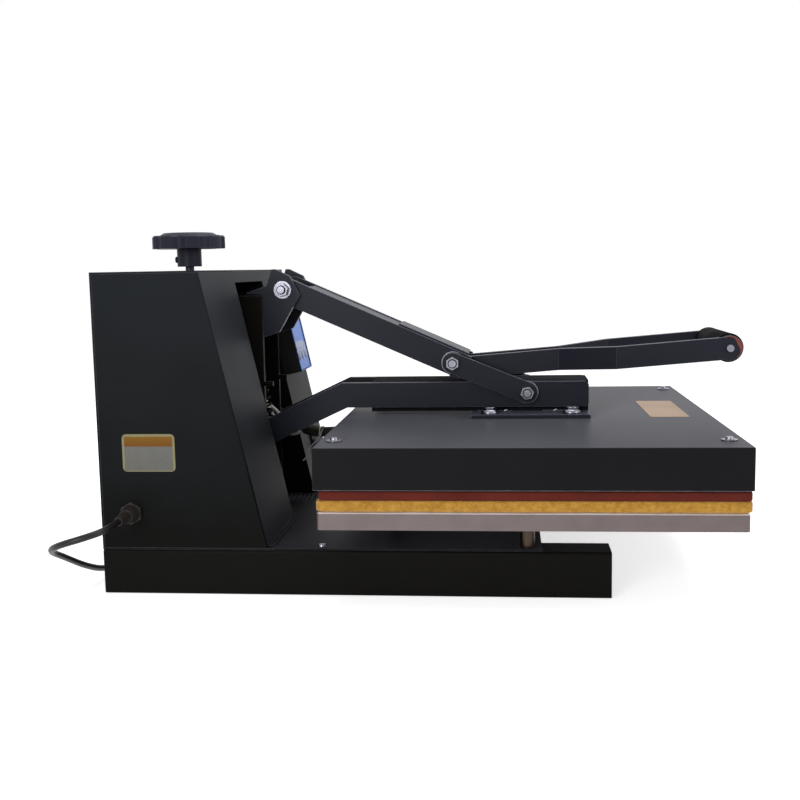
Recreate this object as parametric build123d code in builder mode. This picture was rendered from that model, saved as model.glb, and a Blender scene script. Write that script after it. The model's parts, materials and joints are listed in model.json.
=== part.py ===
from build123d import *
from math import atan2, cos, degrees, hypot, pi, radians, sin, sqrt, tan
import os

# Clamshell heat press: a steel base with a tower, a toggle linkage and a hinged heating platen.
# +X is towards the operator (the handle), +Y is across the machine, +Z is up, in millimetres.
# Distances named *_u run forward from the tower's back face, heights named *_z from the floor.

# Driving dimensions: reach of the whole machine
grip_u = 644.5
grip_z = 233.0
grip_ring_radius = 15.5
rear_screw_rise = 1.6

# Driving dimensions: base
base_length = 509.0
base_width = 402.0
rail_width = 40.0
rail_height = 46.0
rail_wall = 2.5
rear_member_depth = 60.0
deck_thickness = 2.0
deck_end_u = 442.0
deck_inset = 2.0
deck_screw_u = (30.0, 223.0)
deck_screw_inset = 11.0
vent_pitch = 5.6
vent_width = 3.0
vent_length = 34.0
vent_count = 12
vent_start_u = 112.0
vent_y = 41.0

# Driving dimensions: tower
tower_height = 325.0
tower_top_depth = 109.0
tower_foot_depth = 170.0
sheet = 2.0
slot_width = 134.0
slot_lip = 12.0
foot_flange = 5.0
housing_corner = 1.8

# Driving dimensions: mast inside the tower's slot
arm_half_width = 36.0
side_play = 0.5
mast_plate = 6.0
mast_front_u = 136.0
mast_back_u = 12.0
mast_drop = 29.0
mast_foot_width = 18.0
mast_bolt_step = 40.0
mast_lug_z = 194.0
mast_lug = (9.5, 5.0)
guide_slot_width = 8.4

# Driving dimensions: linkage pivots and bars
hinge_u = 101.0
hinge_z = 124.0
top_pivot_u = 160.0
top_pivot_drop = 23.0
elbow_u = 349.0
elbow_z = 218.0
link_pivot_u = 431.0
link_pivot_z = 184.5
arm_height = 28.0
arm_bar = 8.0
upper_arm_tip = 16.5
lower_arm_bend_u = 226.0
lower_arm_z = 182.0
lower_arm_end_u = 499.0
core_wall = 3.0
core_start_u = 256.0
core_proud = 0.5
link_width = 23.0
link_plate = 6.0
hinge_shaft_radius = 8.0
hinge_tube_radius = 13.0
running_clearance = 0.05
sleeve_radius = 10.0

# Driving dimensions: fasteners
bolt_radius = 4.0
nut_flats = 13.0
nut_height = 6.5
thread_stub = 2.6
head_height = 5.3
washer_radius = 9.8
washer_thickness = 1.6
large_washer_radius = 12.6
large_washer_thickness = 2.0
screw_radius = 2.0
screw_head_radius = 4.2

# Driving dimensions: pressure adjuster
knob_u = 42.5
spindle_radius = 5.0
spindle_collar_radius = 9.0
knob_gap = 5.0
hub_radius = 14.0
hub_height = 20.5
knob_radius = 41.5
knob_height = 18.0
knob_lobes = 8
lobe_offset = 5.0
lobe_cut_radius = 9.5
lobe_fillet = 3.0
knob_dome = 3.0
knob_rim = 2.0
spindle_grip = 12.0
yoke_travel_down = 1.5
yoke_travel_up = 6.0
cheek_height = 76.0
slider_drop = 59.0
slider_height = 24.0
web_thickness = 6.0

# Driving dimensions: platens and pads
cover_rear_u = 226.0
cover_height = 40.0
cover_top_z = 158.0
cover_sheet = 1.5
plate_length = 400.0
plate_width = 500.0
cover_side_gap = 2.0
cover_end_gap = 1.0
heater_thickness = 16.0
blanket_thickness = 12.0
boss_height = 9.0
thread_depth = 6.0
element_radius = 4.0
element_length = 300.0
element_width = 400.0
element_bend = 56.0
element_gap = 16.0
heater_drop = 1.3
pad_gap = 0.1
silicone_thickness = 9.0
felt_thickness = 11.0
pad_overhang = 0.6
silicone_inset = 0.2
silicone_shift_u = 2.0
felt_overhang_u = 1.6
felt_shift_u = 0.8
platen_chamfer = 1.6
lower_platen_thickness = 17.4
cover_screw_inset_u = 15.5
cover_screw_inset_y = 41.5
post_radius = 7.2
front_post_u = 428.0
front_post_y = 185.0
rear_post_u = 290.0
rear_post_y = 100.0
foot_start_u = 369.5
foot_length = 129.5
foot_half_width = 63.0
foot_thickness = 4.5
foot_bolt_inset_u = 20.0
foot_bolt_y = 51.5

# Driving dimensions: handle
handle_bar = 8.0
handle_bar_height = 24.0
handle_rear_u = 353.0
handle_bend_u = 468.0
handle_spread_u = 527.0
handle_rear_y = 18.0
handle_front_y = 62.0
handle_line_z = 210.6
handle_line_u = 356.0
handle_end_radius = 13.5
handle_spacer_radius = 6.0
grip_radius = 14.0
grip_ring_length = 6.0

# Driving dimensions: electrics
control_box_width = 70.0
control_box_depth = 20.0
control_box_bottom_z = 194.0
control_box_height = 104.0
panel_thickness = 1.5
button_radius = 5.0
button_rise = 1.2
button_gap = 0.2
button_travel = 0.8
button_drop = 32.0
button_spacing = 20.0
switch_z = 108.0
switch_width = 24.0
switch_height = 32.0
switch_depth = 18.0
rocker_gap = 0.25
rocker_tilt = 8.0
rocker_axis_depth = 5.0
relay_length = 58.0
relay_width = 45.0
relay_base = 5.0
relay_height = 18.0
strip_u = 90.0
strip_width = 22.0
strip_height = 14.0
pole_count = 6
pole_pitch = 14.0
pole_rib = 3.0
pole_rise = 5.0
gland_u = 32.0
gland_z = 84.0
gland_flats = 20.0
gland_flange = 4.5
gland_cap_length = 15.0
gland_sleeve_length = 21.0
harness_radius = 7.0
harness_gap = 0.3
harness_y = 33.0
harness_rise = 12.0
harness_exit_u = 116.0
harness_exit_z = 172.0

# Driving dimensions: mains lead, coil and plug
cord_radius = 3.25
coil_u = -66.0
coil_y = 126.0
coil_gap = 0.6
coil_turns = 3
coil_inner_radius = 25.1
plug_length = 46.0
plug_width = 26.0
plug_lead = 28.0
pin_spacing = 12.7
pin_size = (1.5, 6.4)
pin_length = 18.0
pin_raise = 2.0
pin_drop = 5.0
earth_pin_radius = 2.4

# Driving dimensions: return spring
spring_wire_radius = 1.4
spring_radius = 8.5
spring_turns = 9
spring_top_u = 112.0
spring_top_drop = 89.0
spring_foot_reach = 32.0
spring_pin_radius = 4.0
hook_gap = 0.3
hook_leg = 6.0
hook_rise = 8.0

# Derived places
back_x = (rear_screw_rise - grip_u - grip_ring_radius) / 2
deck_z = rail_height + deck_thickness
deck_step_u = tower_foot_depth + foot_flange + 1.0
half_base = base_width / 2
half_slot = slot_width / 2
mast_top_z = tower_height - mast_drop
cheek_top_z = tower_height
slider_bottom_z = tower_height - slider_drop
top_pivot_z = tower_height - top_pivot_drop
spring_top_z = tower_height - spring_top_drop
cover_length = plate_length + 2 * (cover_end_gap + cover_sheet)
cover_width = plate_width + 2 * (cover_side_gap + cover_sheet)
cover_screw_y = cover_width / 2 - cover_screw_inset_y
housing_middle_y = (half_base + half_slot) / 2
hole_radius = bolt_radius + running_clearance
screw_hole_radius = screw_radius + running_clearance
cheek_inner = arm_half_width + side_play
cheek_outer = cheek_inner + mast_plate
bar_inner = arm_half_width - arm_bar
cover_bottom_z = cover_top_z - cover_height
heater_z = cover_bottom_z - heater_drop
silicone_z = heater_z - pad_gap - silicone_thickness
felt_z = silicone_z - felt_thickness
lower_platen_z = felt_z - lower_platen_thickness
harness_z = cover_bottom_z + harness_rise
upper_arm_length = hypot(elbow_u - top_pivot_u, elbow_z - top_pivot_z)
upper_arm_angle = degrees(atan2(elbow_z - top_pivot_z, elbow_u - top_pivot_u))
link_length = hypot(link_pivot_u - elbow_u, link_pivot_z - elbow_z)
link_angle = degrees(atan2(link_pivot_z - elbow_z, link_pivot_u - elbow_u))
slant_angle = degrees(atan2(lower_arm_z - hinge_z, lower_arm_bend_u - hinge_u))
handle_angle = degrees(atan2(grip_z - handle_line_z, grip_u - handle_line_u))
foot_z = cover_top_z + foot_thickness
element_z = heater_z + heater_thickness
blanket_z = element_z + boss_height
front_lean = (tower_foot_depth - tower_top_depth) / (tower_height - deck_z)
front_tilt = atan2(front_lean, 1.0)


def x_of(u):
    """X of a place u in front of the tower's back face."""
    return back_x + u


def side_plane(y):
    """Sketch plane facing -Y at the given y, with X to the right and Z up."""
    return Plane.XZ.offset(-y)


def pivot_plane(u, z, y, angle=0.0):
    """Side plane with its origin at a pivot and its x axis turned up by an angle in degrees."""
    along = (cos(radians(angle)), 0, sin(radians(angle)))
    return Plane(origin=(x_of(u), y, z), x_dir=along, z_dir=(0, -1, 0))


def front_u(z):
    """Distance from the back face to the tower's leaning front at a height."""
    return tower_foot_depth - (z - deck_z) * front_lean


def front_plane(z, y):
    """Plane on the tower's leaning front: x runs across (+Y), y runs up the front, z faces out."""
    out = (cos(front_tilt), 0, sin(front_tilt))
    return Plane(origin=(x_of(front_u(z)), y, z), x_dir=(0, 1, 0), z_dir=out)


def disc(plane, radius, height, mode=Mode.ADD):
    """Round disc or hole that stands on a plane."""
    with BuildSketch(plane) as outline:
        Circle(radius)
    extrude(outline.sketch, amount=height, mode=mode)


def ring(plane, outer, inner, height):
    """Round ring, such as a washer, that stands on a plane."""
    with BuildSketch(plane) as outline:
        Circle(outer)
        Circle(inner, mode=Mode.SUBTRACT)
    extrude(outline.sketch, amount=height)


def hexagon(plane, flats, height):
    """Hexagonal nut or bolt head that stands on a plane."""
    with BuildSketch(plane) as outline:
        RegularPolygon(radius=flats / 2, side_count=6, major_radius=False)
    extrude(outline.sketch, amount=height)


def block(plane, length, width, height, mode=Mode.ADD):
    """Rectangular block centred on a plane's origin."""
    with BuildSketch(plane) as outline:
        Rectangle(length, width)
    extrude(outline.sketch, amount=height, mode=mode)


def pan_screw(plane, head_height_above, shank):
    """Pan head screw: low domed head above the plane and a shank below it."""
    with BuildSketch(plane) as outline:
        Circle(screw_head_radius)
    extrude(outline.sketch, amount=head_height_above, taper=18)
    disc(plane, screw_radius, -shank)


def bent_bar(points, half):
    """Outline points of a bar of constant width along a bent centre line, with mitred bends."""
    runs = [atan2(b[1] - a[1], b[0] - a[0]) for a, b in zip(points, points[1:])]
    left, right = [], []
    for (px, py), way_in, way_out in zip(points, runs[:1] + runs, runs + runs[-1:]):
        middle = (way_in + way_out) / 2
        reach = half / cos((way_out - way_in) / 2)
        left.append((px - reach * sin(middle), py + reach * cos(middle)))
        right.append((px + reach * sin(middle), py - reach * cos(middle)))
    return left + right[::-1]


def save(part, name):
    """Label a finished piece and write it as its own file."""
    part.label = name
    export_step(part, f"parts/{name}.step")


# Base: two closed box rails, a rear member between them and a deck plate on top
with BuildPart() as base_rails:
    rail_middle = half_base - rail_width / 2
    with BuildSketch(Plane.YZ.offset(x_of(0))):
        with Locations((-rail_middle, rail_height / 2)):
            RectangleRounded(rail_width, rail_height, 3.0)
    extrude(amount=base_length)
    with BuildSketch(Plane.YZ.offset(x_of(rail_wall))):
        with Locations((-rail_middle, rail_height / 2)):
            Rectangle(rail_width - 2 * rail_wall, rail_height - 2 * rail_wall)
    extrude(amount=base_length - 2 * rail_wall, mode=Mode.SUBTRACT)
    mirror(about=Plane.XZ)
save(base_rails.part, "base_rails")

with BuildPart() as base_rear_member:
    member_width = base_width - 2 * rail_width
    with BuildSketch(Plane.XZ.offset(-member_width / 2)):
        with Locations((x_of(rear_member_depth / 2), rail_height / 2)):
            Rectangle(rear_member_depth, rail_height)
            Rectangle(rear_member_depth - 2 * rail_wall, rail_height - 2 * rail_wall, mode=Mode.SUBTRACT)
    extrude(amount=member_width)
save(base_rear_member.part, "base_rear_member")

with BuildPart() as deck_plate:
    with BuildSketch(Plane.XY.offset(rail_height)):
        with Locations((x_of(deck_end_u / 2), 0)):
            Rectangle(deck_end_u, base_width - 2 * deck_inset)
        with Locations((x_of(deck_step_u / 2), 0)):
            Rectangle(deck_step_u, base_width)
        for slot in range(vent_count):
            with Locations((x_of(vent_start_u + slot * vent_pitch), vent_y)):
                Rectangle(vent_width, vent_length, mode=Mode.SUBTRACT)
        for side in (-1, 1):
            for screw_u in deck_screw_u:
                with Locations((x_of(screw_u), side * (half_base - deck_screw_inset))):
                    Circle(screw_hole_radius, mode=Mode.SUBTRACT)
    extrude(amount=deck_thickness)
save(deck_plate.part, "deck_plate")

# Tower: two side housings of folded sheet with the arm slot between them, a top and a rear cover
housing_top = tower_height - sheet


def side_housing(side):
    """Folded channel: outer wall, leaning front band and the slot's inner wall, open to the rear."""
    with BuildPart() as housing:
        with BuildSketch(side_plane(side * half_slot if side < 0 else half_base)):
            with BuildLine():
                Polyline(
                    (x_of(sheet), deck_z),
                    (x_of(front_u(deck_z)), deck_z),
                    (x_of(front_u(housing_top)), housing_top),
                    (x_of(sheet), housing_top),
                    close=True,
                )
            make_face()
        extrude(amount=half_base - half_slot)
        open_faces = housing.faces().sort_by(Axis.X)[:1] + housing.faces().sort_by(Axis.Z)[-1:]
        open_faces += housing.faces().sort_by(Axis.Z)[:1]
        offset(amount=-sheet, openings=open_faces)
        outer = housing.edges().filter_by(lambda e: abs(abs(e.center().Y) - half_base) < 0.01)
        leaning = outer.filter_by(lambda e: abs(e.tangent_at(0.5).X) < 0.9 and abs(e.tangent_at(0.5).Z) > 0.5)
        fillet(leaning.sort_by(Axis.X)[-1], housing_corner)
        with BuildSketch(Plane.XY.offset(deck_z)) as flange:
            with Locations((x_of(tower_foot_depth + foot_flange / 2 - 1), side * housing_middle_y)):
                Rectangle(foot_flange + 2, half_base - half_slot - 8)
        extrude(flange.sketch, amount=sheet)
    return housing


side_housing_near = side_housing(-1)
side_housing_far = side_housing(1)

# The near wall has the gland's hole and the far front band has the switch's cut-out
gland_thread_radius = gland_flats / 2 - 2.0
with BuildPart() as near_housing:
    add(side_housing_near.part)
    with BuildSketch(side_plane(-half_base + sheet + 1)):
        with Locations((x_of(gland_u), gland_z)):
            Circle(gland_thread_radius + running_clearance)
    extrude(amount=sheet + 2, mode=Mode.SUBTRACT)
save(near_housing.part, "side_housing_near")

with BuildPart() as far_housing:
    add(side_housing_far.part)
    switch_plane = front_plane(switch_z, housing_middle_y)
    with BuildSketch(switch_plane.offset(1)):
        Rectangle(switch_width + 2 * side_play, switch_height + 2 * side_play)
    extrude(amount=-(sheet + 2), mode=Mode.SUBTRACT)
    with BuildSketch(side_plane(half_slot + sheet + 1)):
        with Locations((x_of(harness_exit_u), harness_exit_z)):
            Circle(harness_radius)
    extrude(amount=sheet + 2, mode=Mode.SUBTRACT)
save(far_housing.part, "side_housing_far")

with BuildPart() as top_cover:
    with BuildSketch(Plane.XY.offset(housing_top)):
        with Locations((x_of(front_u(tower_height) / 2), 0)):
            Rectangle(front_u(tower_height), base_width)
        with Locations((x_of(knob_u), 0)):
            Circle(spindle_radius + running_clearance, mode=Mode.SUBTRACT)
    extrude(amount=sheet)
    lip_plane = front_plane(housing_top, 0)
    with BuildSketch(lip_plane):
        with Locations((0, (1 - slot_lip) / 2)):
            Rectangle(slot_width - 2 * side_play, slot_lip + 1)
    extrude(amount=-sheet)
save(top_cover.part, "top_cover")

rear_screw_z = (deck_z + 14.0, (deck_z + tower_height) / 2, tower_height - 14.0)
rear_screw_y = half_base - 12.0
with BuildPart() as rear_cover:
    with BuildSketch(Plane.YZ.offset(x_of(0))):
        with Locations((0, (deck_z + housing_top) / 2)):
            Rectangle(base_width, housing_top - deck_z)
        for side in (-1, 1):
            for row in range(8):
                with Locations((side * housing_middle_y, deck_z + 150 + row * 9)):
                    Rectangle(60, 3.5, mode=Mode.SUBTRACT)
            for screw_z in rear_screw_z:
                with Locations((side * rear_screw_y, screw_z)):
                    Circle(screw_hole_radius, mode=Mode.SUBTRACT)
    extrude(amount=sheet)
save(rear_cover.part, "rear_cover")

with BuildPart() as rear_cover_screws:
    for side in (-1, 1):
        for screw_z in rear_screw_z:
            pan_screw(
                Plane(origin=(x_of(0), side * rear_screw_y, screw_z), z_dir=(-1, 0, 0)),
                rear_screw_rise, sheet + 3,
            )
save(rear_cover_screws.part, "rear_cover_screws")

with BuildPart() as deck_screws:
    for side in (-1, 1):
        for screw_u in deck_screw_u:
            place = (x_of(screw_u), side * (half_base - deck_screw_inset), deck_z)
            pan_screw(Plane(origin=place), 2.0, deck_thickness)
save(deck_screws.part, "deck_screws")

# Mast: a steel channel that carries the hinge shaft and guides the pressure yoke
mast_middle_u = (mast_front_u + mast_back_u) / 2
mast_foot_y = cheek_outer + mast_foot_width / 2
guide_u = (64.0, 100.0)
guide_z = slider_bottom_z + slider_height / 2
with BuildPart() as mast:
    with BuildSketch(side_plane(-cheek_inner)):
        with Locations((x_of(mast_middle_u), (deck_z + mast_top_z) / 2)):
            Rectangle(mast_front_u - mast_back_u, mast_top_z - deck_z)
        with Locations((x_of(mast_front_u + mast_lug[0] / 2 - 1), mast_lug_z + mast_lug[1] / 2)):
            Rectangle(mast_lug[0] + 2, mast_lug[1])
        with Locations((x_of(hinge_u), hinge_z)):
            Circle(hinge_shaft_radius + running_clearance, mode=Mode.SUBTRACT)
        with Locations((x_of(spring_top_u), spring_top_z)):
            Circle(spring_pin_radius + running_clearance, mode=Mode.SUBTRACT)
        for place_u in guide_u:
            slot_middle = guide_z + (yoke_travel_up - yoke_travel_down) / 2
            slot_length = yoke_travel_up + yoke_travel_down + guide_slot_width + 0.6
            with Locations((x_of(place_u), slot_middle)):
                SlotOverall(slot_length, guide_slot_width, rotation=90, mode=Mode.SUBTRACT)
    extrude(amount=mast_plate)
    mirror(about=Plane.XZ)
    with BuildSketch(Plane.XY.offset(deck_z)):
        with Locations((x_of(mast_back_u + mast_plate / 2), 0)):
            Rectangle(mast_plate, 2 * cheek_inner)
    extrude(amount=mast_top_z - deck_z)
    with BuildSketch(Plane.XY.offset(deck_z)):
        for side in (-1, 1):
            with Locations((x_of(mast_middle_u), side * mast_foot_y)):
                Rectangle(mast_front_u - mast_back_u - 12, mast_foot_width)
                with Locations((mast_bolt_step, 0), (-mast_bolt_step, 0)):
                    Circle(hole_radius, mode=Mode.SUBTRACT)
    extrude(amount=mast_plate)
save(mast.part, "mast")

with BuildPart() as mast_bolts:
    for side in (-1, 1):
        for step in (-mast_bolt_step, mast_bolt_step):
            seat = Plane(origin=(x_of(mast_middle_u + step), side * mast_foot_y, deck_z + mast_plate))
            hexagon(seat, nut_flats, head_height)
            disc(seat, bolt_radius, -mast_plate)
save(mast_bolts.part, "mast_bolts")

with BuildPart() as hinge_shaft:
    disc(pivot_plane(hinge_u, hinge_z, cheek_outer), hinge_shaft_radius, 2 * cheek_outer)
    for y in (-cheek_outer, cheek_outer + head_height):
        hexagon(pivot_plane(hinge_u, hinge_z, y), 24.0, head_height)
save(hinge_shaft.part, "hinge_shaft")

# Pressure yoke: a slider between the mast plates, a front web and two pivot cheeks
slider_front_u = mast_front_u + 1.0
slider_back_u = mast_back_u + mast_plate + 2.5
yoke_tail_z = mast_top_z + yoke_travel_down + 0.4
with BuildPart() as yoke:
    with BuildSketch(side_plane(-cheek_inner)):
        with BuildLine():
            Polyline(
                (x_of(slider_front_u), cheek_top_z - cheek_height),
                (x_of(slider_front_u), yoke_tail_z),
                (x_of(slider_front_u - 18), yoke_tail_z),
                (x_of(slider_front_u - 18), yoke_tail_z + 1.5),
                (x_of(slider_front_u + 5), yoke_tail_z + 9.0),
                (x_of(slider_front_u + 11), cheek_top_z),
                (x_of(slider_front_u + 15), cheek_top_z),
                (x_of(slider_front_u + 31.5), cheek_top_z - 8.0),
                (x_of(slider_front_u + 42), cheek_top_z - 29.5),
                (x_of(slider_front_u + 35), cheek_top_z - cheek_height + 35),
                (x_of(slider_front_u + 18), cheek_top_z - cheek_height + 6),
                close=True,
            )
        make_face()
        with Locations((x_of(top_pivot_u), top_pivot_z)):
            Circle(hole_radius, mode=Mode.SUBTRACT)
    extrude(amount=mast_plate)
    mirror(about=Plane.XZ)
    with BuildSketch(Plane.YZ.offset(x_of(slider_front_u))):
        with Locations((0, slider_bottom_z + (slider_height + 8) / 2)):
            Rectangle(2 * cheek_inner, slider_height + 8)
    extrude(amount=web_thickness)
    with BuildSketch(Plane.YZ.offset(x_of(slider_back_u))):
        with Locations((0, slider_bottom_z + slider_height / 2)):
            Rectangle(2 * arm_half_width, slider_height)
            Rectangle(2 * arm_half_width - 12, slider_height - 12, mode=Mode.SUBTRACT)
    extrude(amount=slider_front_u - slider_back_u)
    spindle_way = Plane(origin=(x_of(knob_u), 0, slider_bottom_z - 1))
    disc(spindle_way, spindle_radius + 1, slider_height + 2, Mode.SUBTRACT)
    for place_u in guide_u:
        disc(
            pivot_plane(place_u, guide_z, arm_half_width + 1),
            hole_radius, 2 * arm_half_width + 2, Mode.SUBTRACT,
        )
save(yoke.part, "yoke")

with BuildPart() as spindle_nut:
    seat = Plane(origin=(x_of(knob_u), 0, slider_bottom_z))
    hexagon(seat, 22.0, -12.0)
    disc(seat, spindle_radius + running_clearance, -12.0, Mode.SUBTRACT)
save(spindle_nut.part, "spindle_nut")

with BuildPart() as guide_bolts:
    for place_u in guide_u:
        disc(pivot_plane(place_u, guide_z, cheek_outer + 0.2), bolt_radius, 2 * cheek_outer + 0.4)
        for y in (-cheek_outer - 0.2, cheek_outer + 0.2 + nut_height):
            hexagon(pivot_plane(place_u, guide_z, y), nut_flats, nut_height)
save(guide_bolts.part, "yoke_guide_bolts")


def through_fastener(u, z, seat_y):
    """Bolt through both sides with a washer and a nut on each outer face."""
    stack = seat_y + washer_thickness
    half_length = stack + nut_height + thread_stub
    disc(pivot_plane(u, z, half_length), bolt_radius - 0.05, 2 * half_length)
    for side in (-1, 1):
        washer_y = -seat_y if side < 0 else stack
        ring(pivot_plane(u, z, washer_y), washer_radius, bolt_radius - 0.05, washer_thickness)
        nut_y = -stack if side < 0 else stack + nut_height
        hexagon(pivot_plane(u, z, nut_y, 15), nut_flats, nut_height)


with BuildPart() as top_pivot_fasteners:
    through_fastener(top_pivot_u, top_pivot_z, cheek_outer)
save(top_pivot_fasteners.part, "top_pivot_fasteners")

# Pressure knob and its spindle
knob_base_z = tower_height + knob_gap
with BuildPart() as spindle:
    rod_bottom = slider_bottom_z - 12.0 - yoke_travel_down - 8.0
    disc(Plane(origin=(x_of(knob_u), 0, rod_bottom)), spindle_radius, knob_base_z + spindle_grip - rod_bottom)
    ring(
        Plane(origin=(x_of(knob_u), 0, housing_top - 6)),
        spindle_collar_radius, spindle_radius, 6 - running_clearance,
    )
save(spindle.part, "adjuster_spindle")

knob_rim_z = knob_base_z + hub_height + knob_height - knob_dome
with BuildPart() as knob:
    disc(Plane(origin=(x_of(knob_u), 0, knob_base_z)), hub_radius, hub_height)
    with BuildSketch(Plane(origin=(x_of(knob_u), 0, knob_base_z + hub_height))) as head:
        Circle(knob_radius)
        with PolarLocations(knob_radius + lobe_offset, knob_lobes):
            Circle(lobe_cut_radius, mode=Mode.SUBTRACT)
        fillet(head.vertices(), lobe_fillet)
    extrude(amount=knob_height - knob_dome)
    rim = knob.edges().filter_by(lambda e: abs(e.center().Z - knob_rim_z) < 0.01)
    chamfer(rim, knob_rim)
    with BuildSketch(Plane(origin=(x_of(knob_u), 0, knob_rim_z))):
        Circle(knob_radius - 8.0)
    extrude(amount=knob_dome, taper=60)
    knob_bore = Plane(origin=(x_of(knob_u), 0, knob_base_z - 1))
    disc(knob_bore, spindle_radius + running_clearance, spindle_grip + 1.1, Mode.SUBTRACT)
save(knob.part, "pressure_knob")

# Upper arm: two flat bars with a box core between them and a stiffening cap at the handle end
arm_half = arm_height / 2
with BuildPart() as upper_arm_bars:
    with BuildSketch(pivot_plane(top_pivot_u, top_pivot_z, -bar_inner, upper_arm_angle)) as bar_face:
        with Locations(((upper_arm_length + upper_arm_tip) / 2, 0)):
            Rectangle(upper_arm_length + upper_arm_tip, arm_height)
        Circle(arm_half)
        chamfer(bar_face.vertices().sort_by(Axis.X)[-2:].sort_by(Axis.Y)[:1], 5.0)
        Circle(hole_radius, mode=Mode.SUBTRACT)
        with Locations((upper_arm_length, 0)):
            Circle(hole_radius, mode=Mode.SUBTRACT)
    extrude(amount=arm_bar)
    mirror(about=Plane.XZ)
save(upper_arm_bars.part, "upper_arm_bars")

core_from = 22.0
handle_pocket = upper_arm_length - 20.0
core_length = handle_pocket - core_from
core_height = arm_height - 2.0
with BuildPart() as upper_arm_core:
    with BuildSketch(pivot_plane(top_pivot_u, top_pivot_z, bar_inner, upper_arm_angle)):
        with Locations(((core_from + handle_pocket) / 2, 0)):
            Rectangle(core_length, core_height)
            Rectangle(core_length - 2 * core_wall, core_height - 2 * core_wall, mode=Mode.SUBTRACT)
    extrude(amount=2 * bar_inner)
save(upper_arm_core.part, "upper_arm_core")

cap_from = 134.0
cap_to = upper_arm_length + upper_arm_tip - 4.0
cap_thickness = 3.0
with BuildPart() as upper_arm_cap:
    with BuildSketch(pivot_plane(top_pivot_u, top_pivot_z, bar_inner, upper_arm_angle)):
        with Locations(((cap_from + cap_to) / 2, arm_half - 1 + cap_thickness / 2)):
            Rectangle(cap_to - cap_from, cap_thickness)
    extrude(amount=2 * bar_inner)
save(upper_arm_cap.part, "upper_arm_cap")

with BuildPart() as top_pivot_sleeve:
    ring(pivot_plane(top_pivot_u, top_pivot_z, bar_inner), sleeve_radius, hole_radius, 2 * bar_inner)
save(top_pivot_sleeve.part, "top_pivot_sleeve")

# Handle: two flat bars welded inside the upper arm, spread apart towards a cross grip
handle_slope = tan(radians(handle_angle))


def handle_z(u):
    """Height of the handle bars' centre line."""
    return handle_line_z + (u - handle_line_u) * handle_slope


with BuildPart() as handle_bars:
    with BuildSketch(side_plane(handle_front_y + handle_bar)):
        with BuildLine():
            Polyline(
                *bent_bar(
                    [
                        (x_of(handle_rear_u), handle_z(handle_rear_u)),
                        (x_of(grip_u), grip_z),
                    ],
                    handle_bar_height / 2,
                ),
                close=True,
            )
        make_face()
        with Locations((x_of(handle_rear_u), handle_z(handle_rear_u))):
            Circle(handle_bar_height / 2 - 0.2)
        with Locations((x_of(grip_u), grip_z)):
            Circle(handle_end_radius)
            Circle(screw_hole_radius, mode=Mode.SUBTRACT)
    extrude(amount=2 * (handle_front_y + handle_bar))
    with BuildSketch(Plane.XY.offset(handle_line_z - 60)):
        with BuildLine():
            Polyline(
                *bent_bar(
                    [
                        (x_of(handle_rear_u - 20), -handle_rear_y),
                        (x_of(handle_bend_u), -handle_rear_y),
                        (x_of(handle_spread_u), -handle_front_y),
                        (x_of(grip_u + 20), -handle_front_y),
                    ],
                    handle_bar / 2,
                ),
                close=True,
            )
        make_face()
    extrude(amount=140, mode=Mode.INTERSECT)
    handle_outer = handle_rear_y + handle_bar / 2
    spacer_seat = pivot_plane(handle_line_u, handle_line_z, -handle_outer)
    disc(spacer_seat, handle_spacer_radius, bar_inner - handle_outer)
    mirror(about=Plane.XZ)
save(handle_bars.part, "handle_bars")

grip_half = handle_front_y - handle_bar / 2
with BuildPart() as grip:
    with BuildSketch(pivot_plane(grip_u, grip_z, grip_half - grip_ring_length, handle_angle)):
        Circle(grip_radius)
    extrude(amount=2 * (grip_half - grip_ring_length))
    fillet(grip.edges().filter_by(GeomType.CIRCLE), 1.0)
    for side in (-1, 1):
        start = grip_half - grip_ring_length
        plane = pivot_plane(grip_u, grip_z, -start if side < 0 else start)
        disc(plane, screw_hole_radius, -20 if side < 0 else 20, Mode.SUBTRACT)
save(grip.part, "grip")

with BuildPart() as grip_rings:
    for y in (-grip_half + grip_ring_length, grip_half):
        ring(pivot_plane(grip_u, grip_z, y), grip_ring_radius, screw_hole_radius, grip_ring_length)
save(grip_rings.part, "grip_rings")

with BuildPart() as grip_screws:
    outer_face = handle_front_y + handle_bar / 2
    for side in (-1, 1):
        seat = Plane(origin=(x_of(grip_u), side * outer_face, grip_z), z_dir=(0, side, 0))
        with BuildSketch(seat) as head_outline:
            Circle(screw_head_radius + 0.6)
        extrude(head_outline.sketch, amount=2.6, taper=20)
        disc(seat, screw_radius, -(handle_bar + grip_ring_length + 18))
save(grip_screws.part, "grip_screws")

# Lower arm: two bent flat bars on the hinge tube, with a box core over the platen
bend_point = (x_of(lower_arm_bend_u), lower_arm_z)
with BuildPart() as lower_arm_bars:
    with BuildSketch(side_plane(-bar_inner)) as lower_face:
        with BuildLine():
            Polyline(
                *bent_bar(
                    [(x_of(hinge_u), hinge_z), bend_point, (x_of(lower_arm_end_u), lower_arm_z)],
                    arm_half,
                ),
                close=True,
            )
        make_face()
        chamfer(lower_face.vertices().sort_by(Axis.X)[-2:], 3.5)
        with Locations((x_of(hinge_u), hinge_z)):
            Circle(arm_half)
            Circle(hinge_shaft_radius + running_clearance, mode=Mode.SUBTRACT)
        with Locations((x_of(link_pivot_u), link_pivot_z)):
            Circle(hole_radius, mode=Mode.SUBTRACT)
    extrude(amount=arm_bar)
    mirror(about=Plane.XZ)
save(lower_arm_bars.part, "lower_arm_bars")

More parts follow.
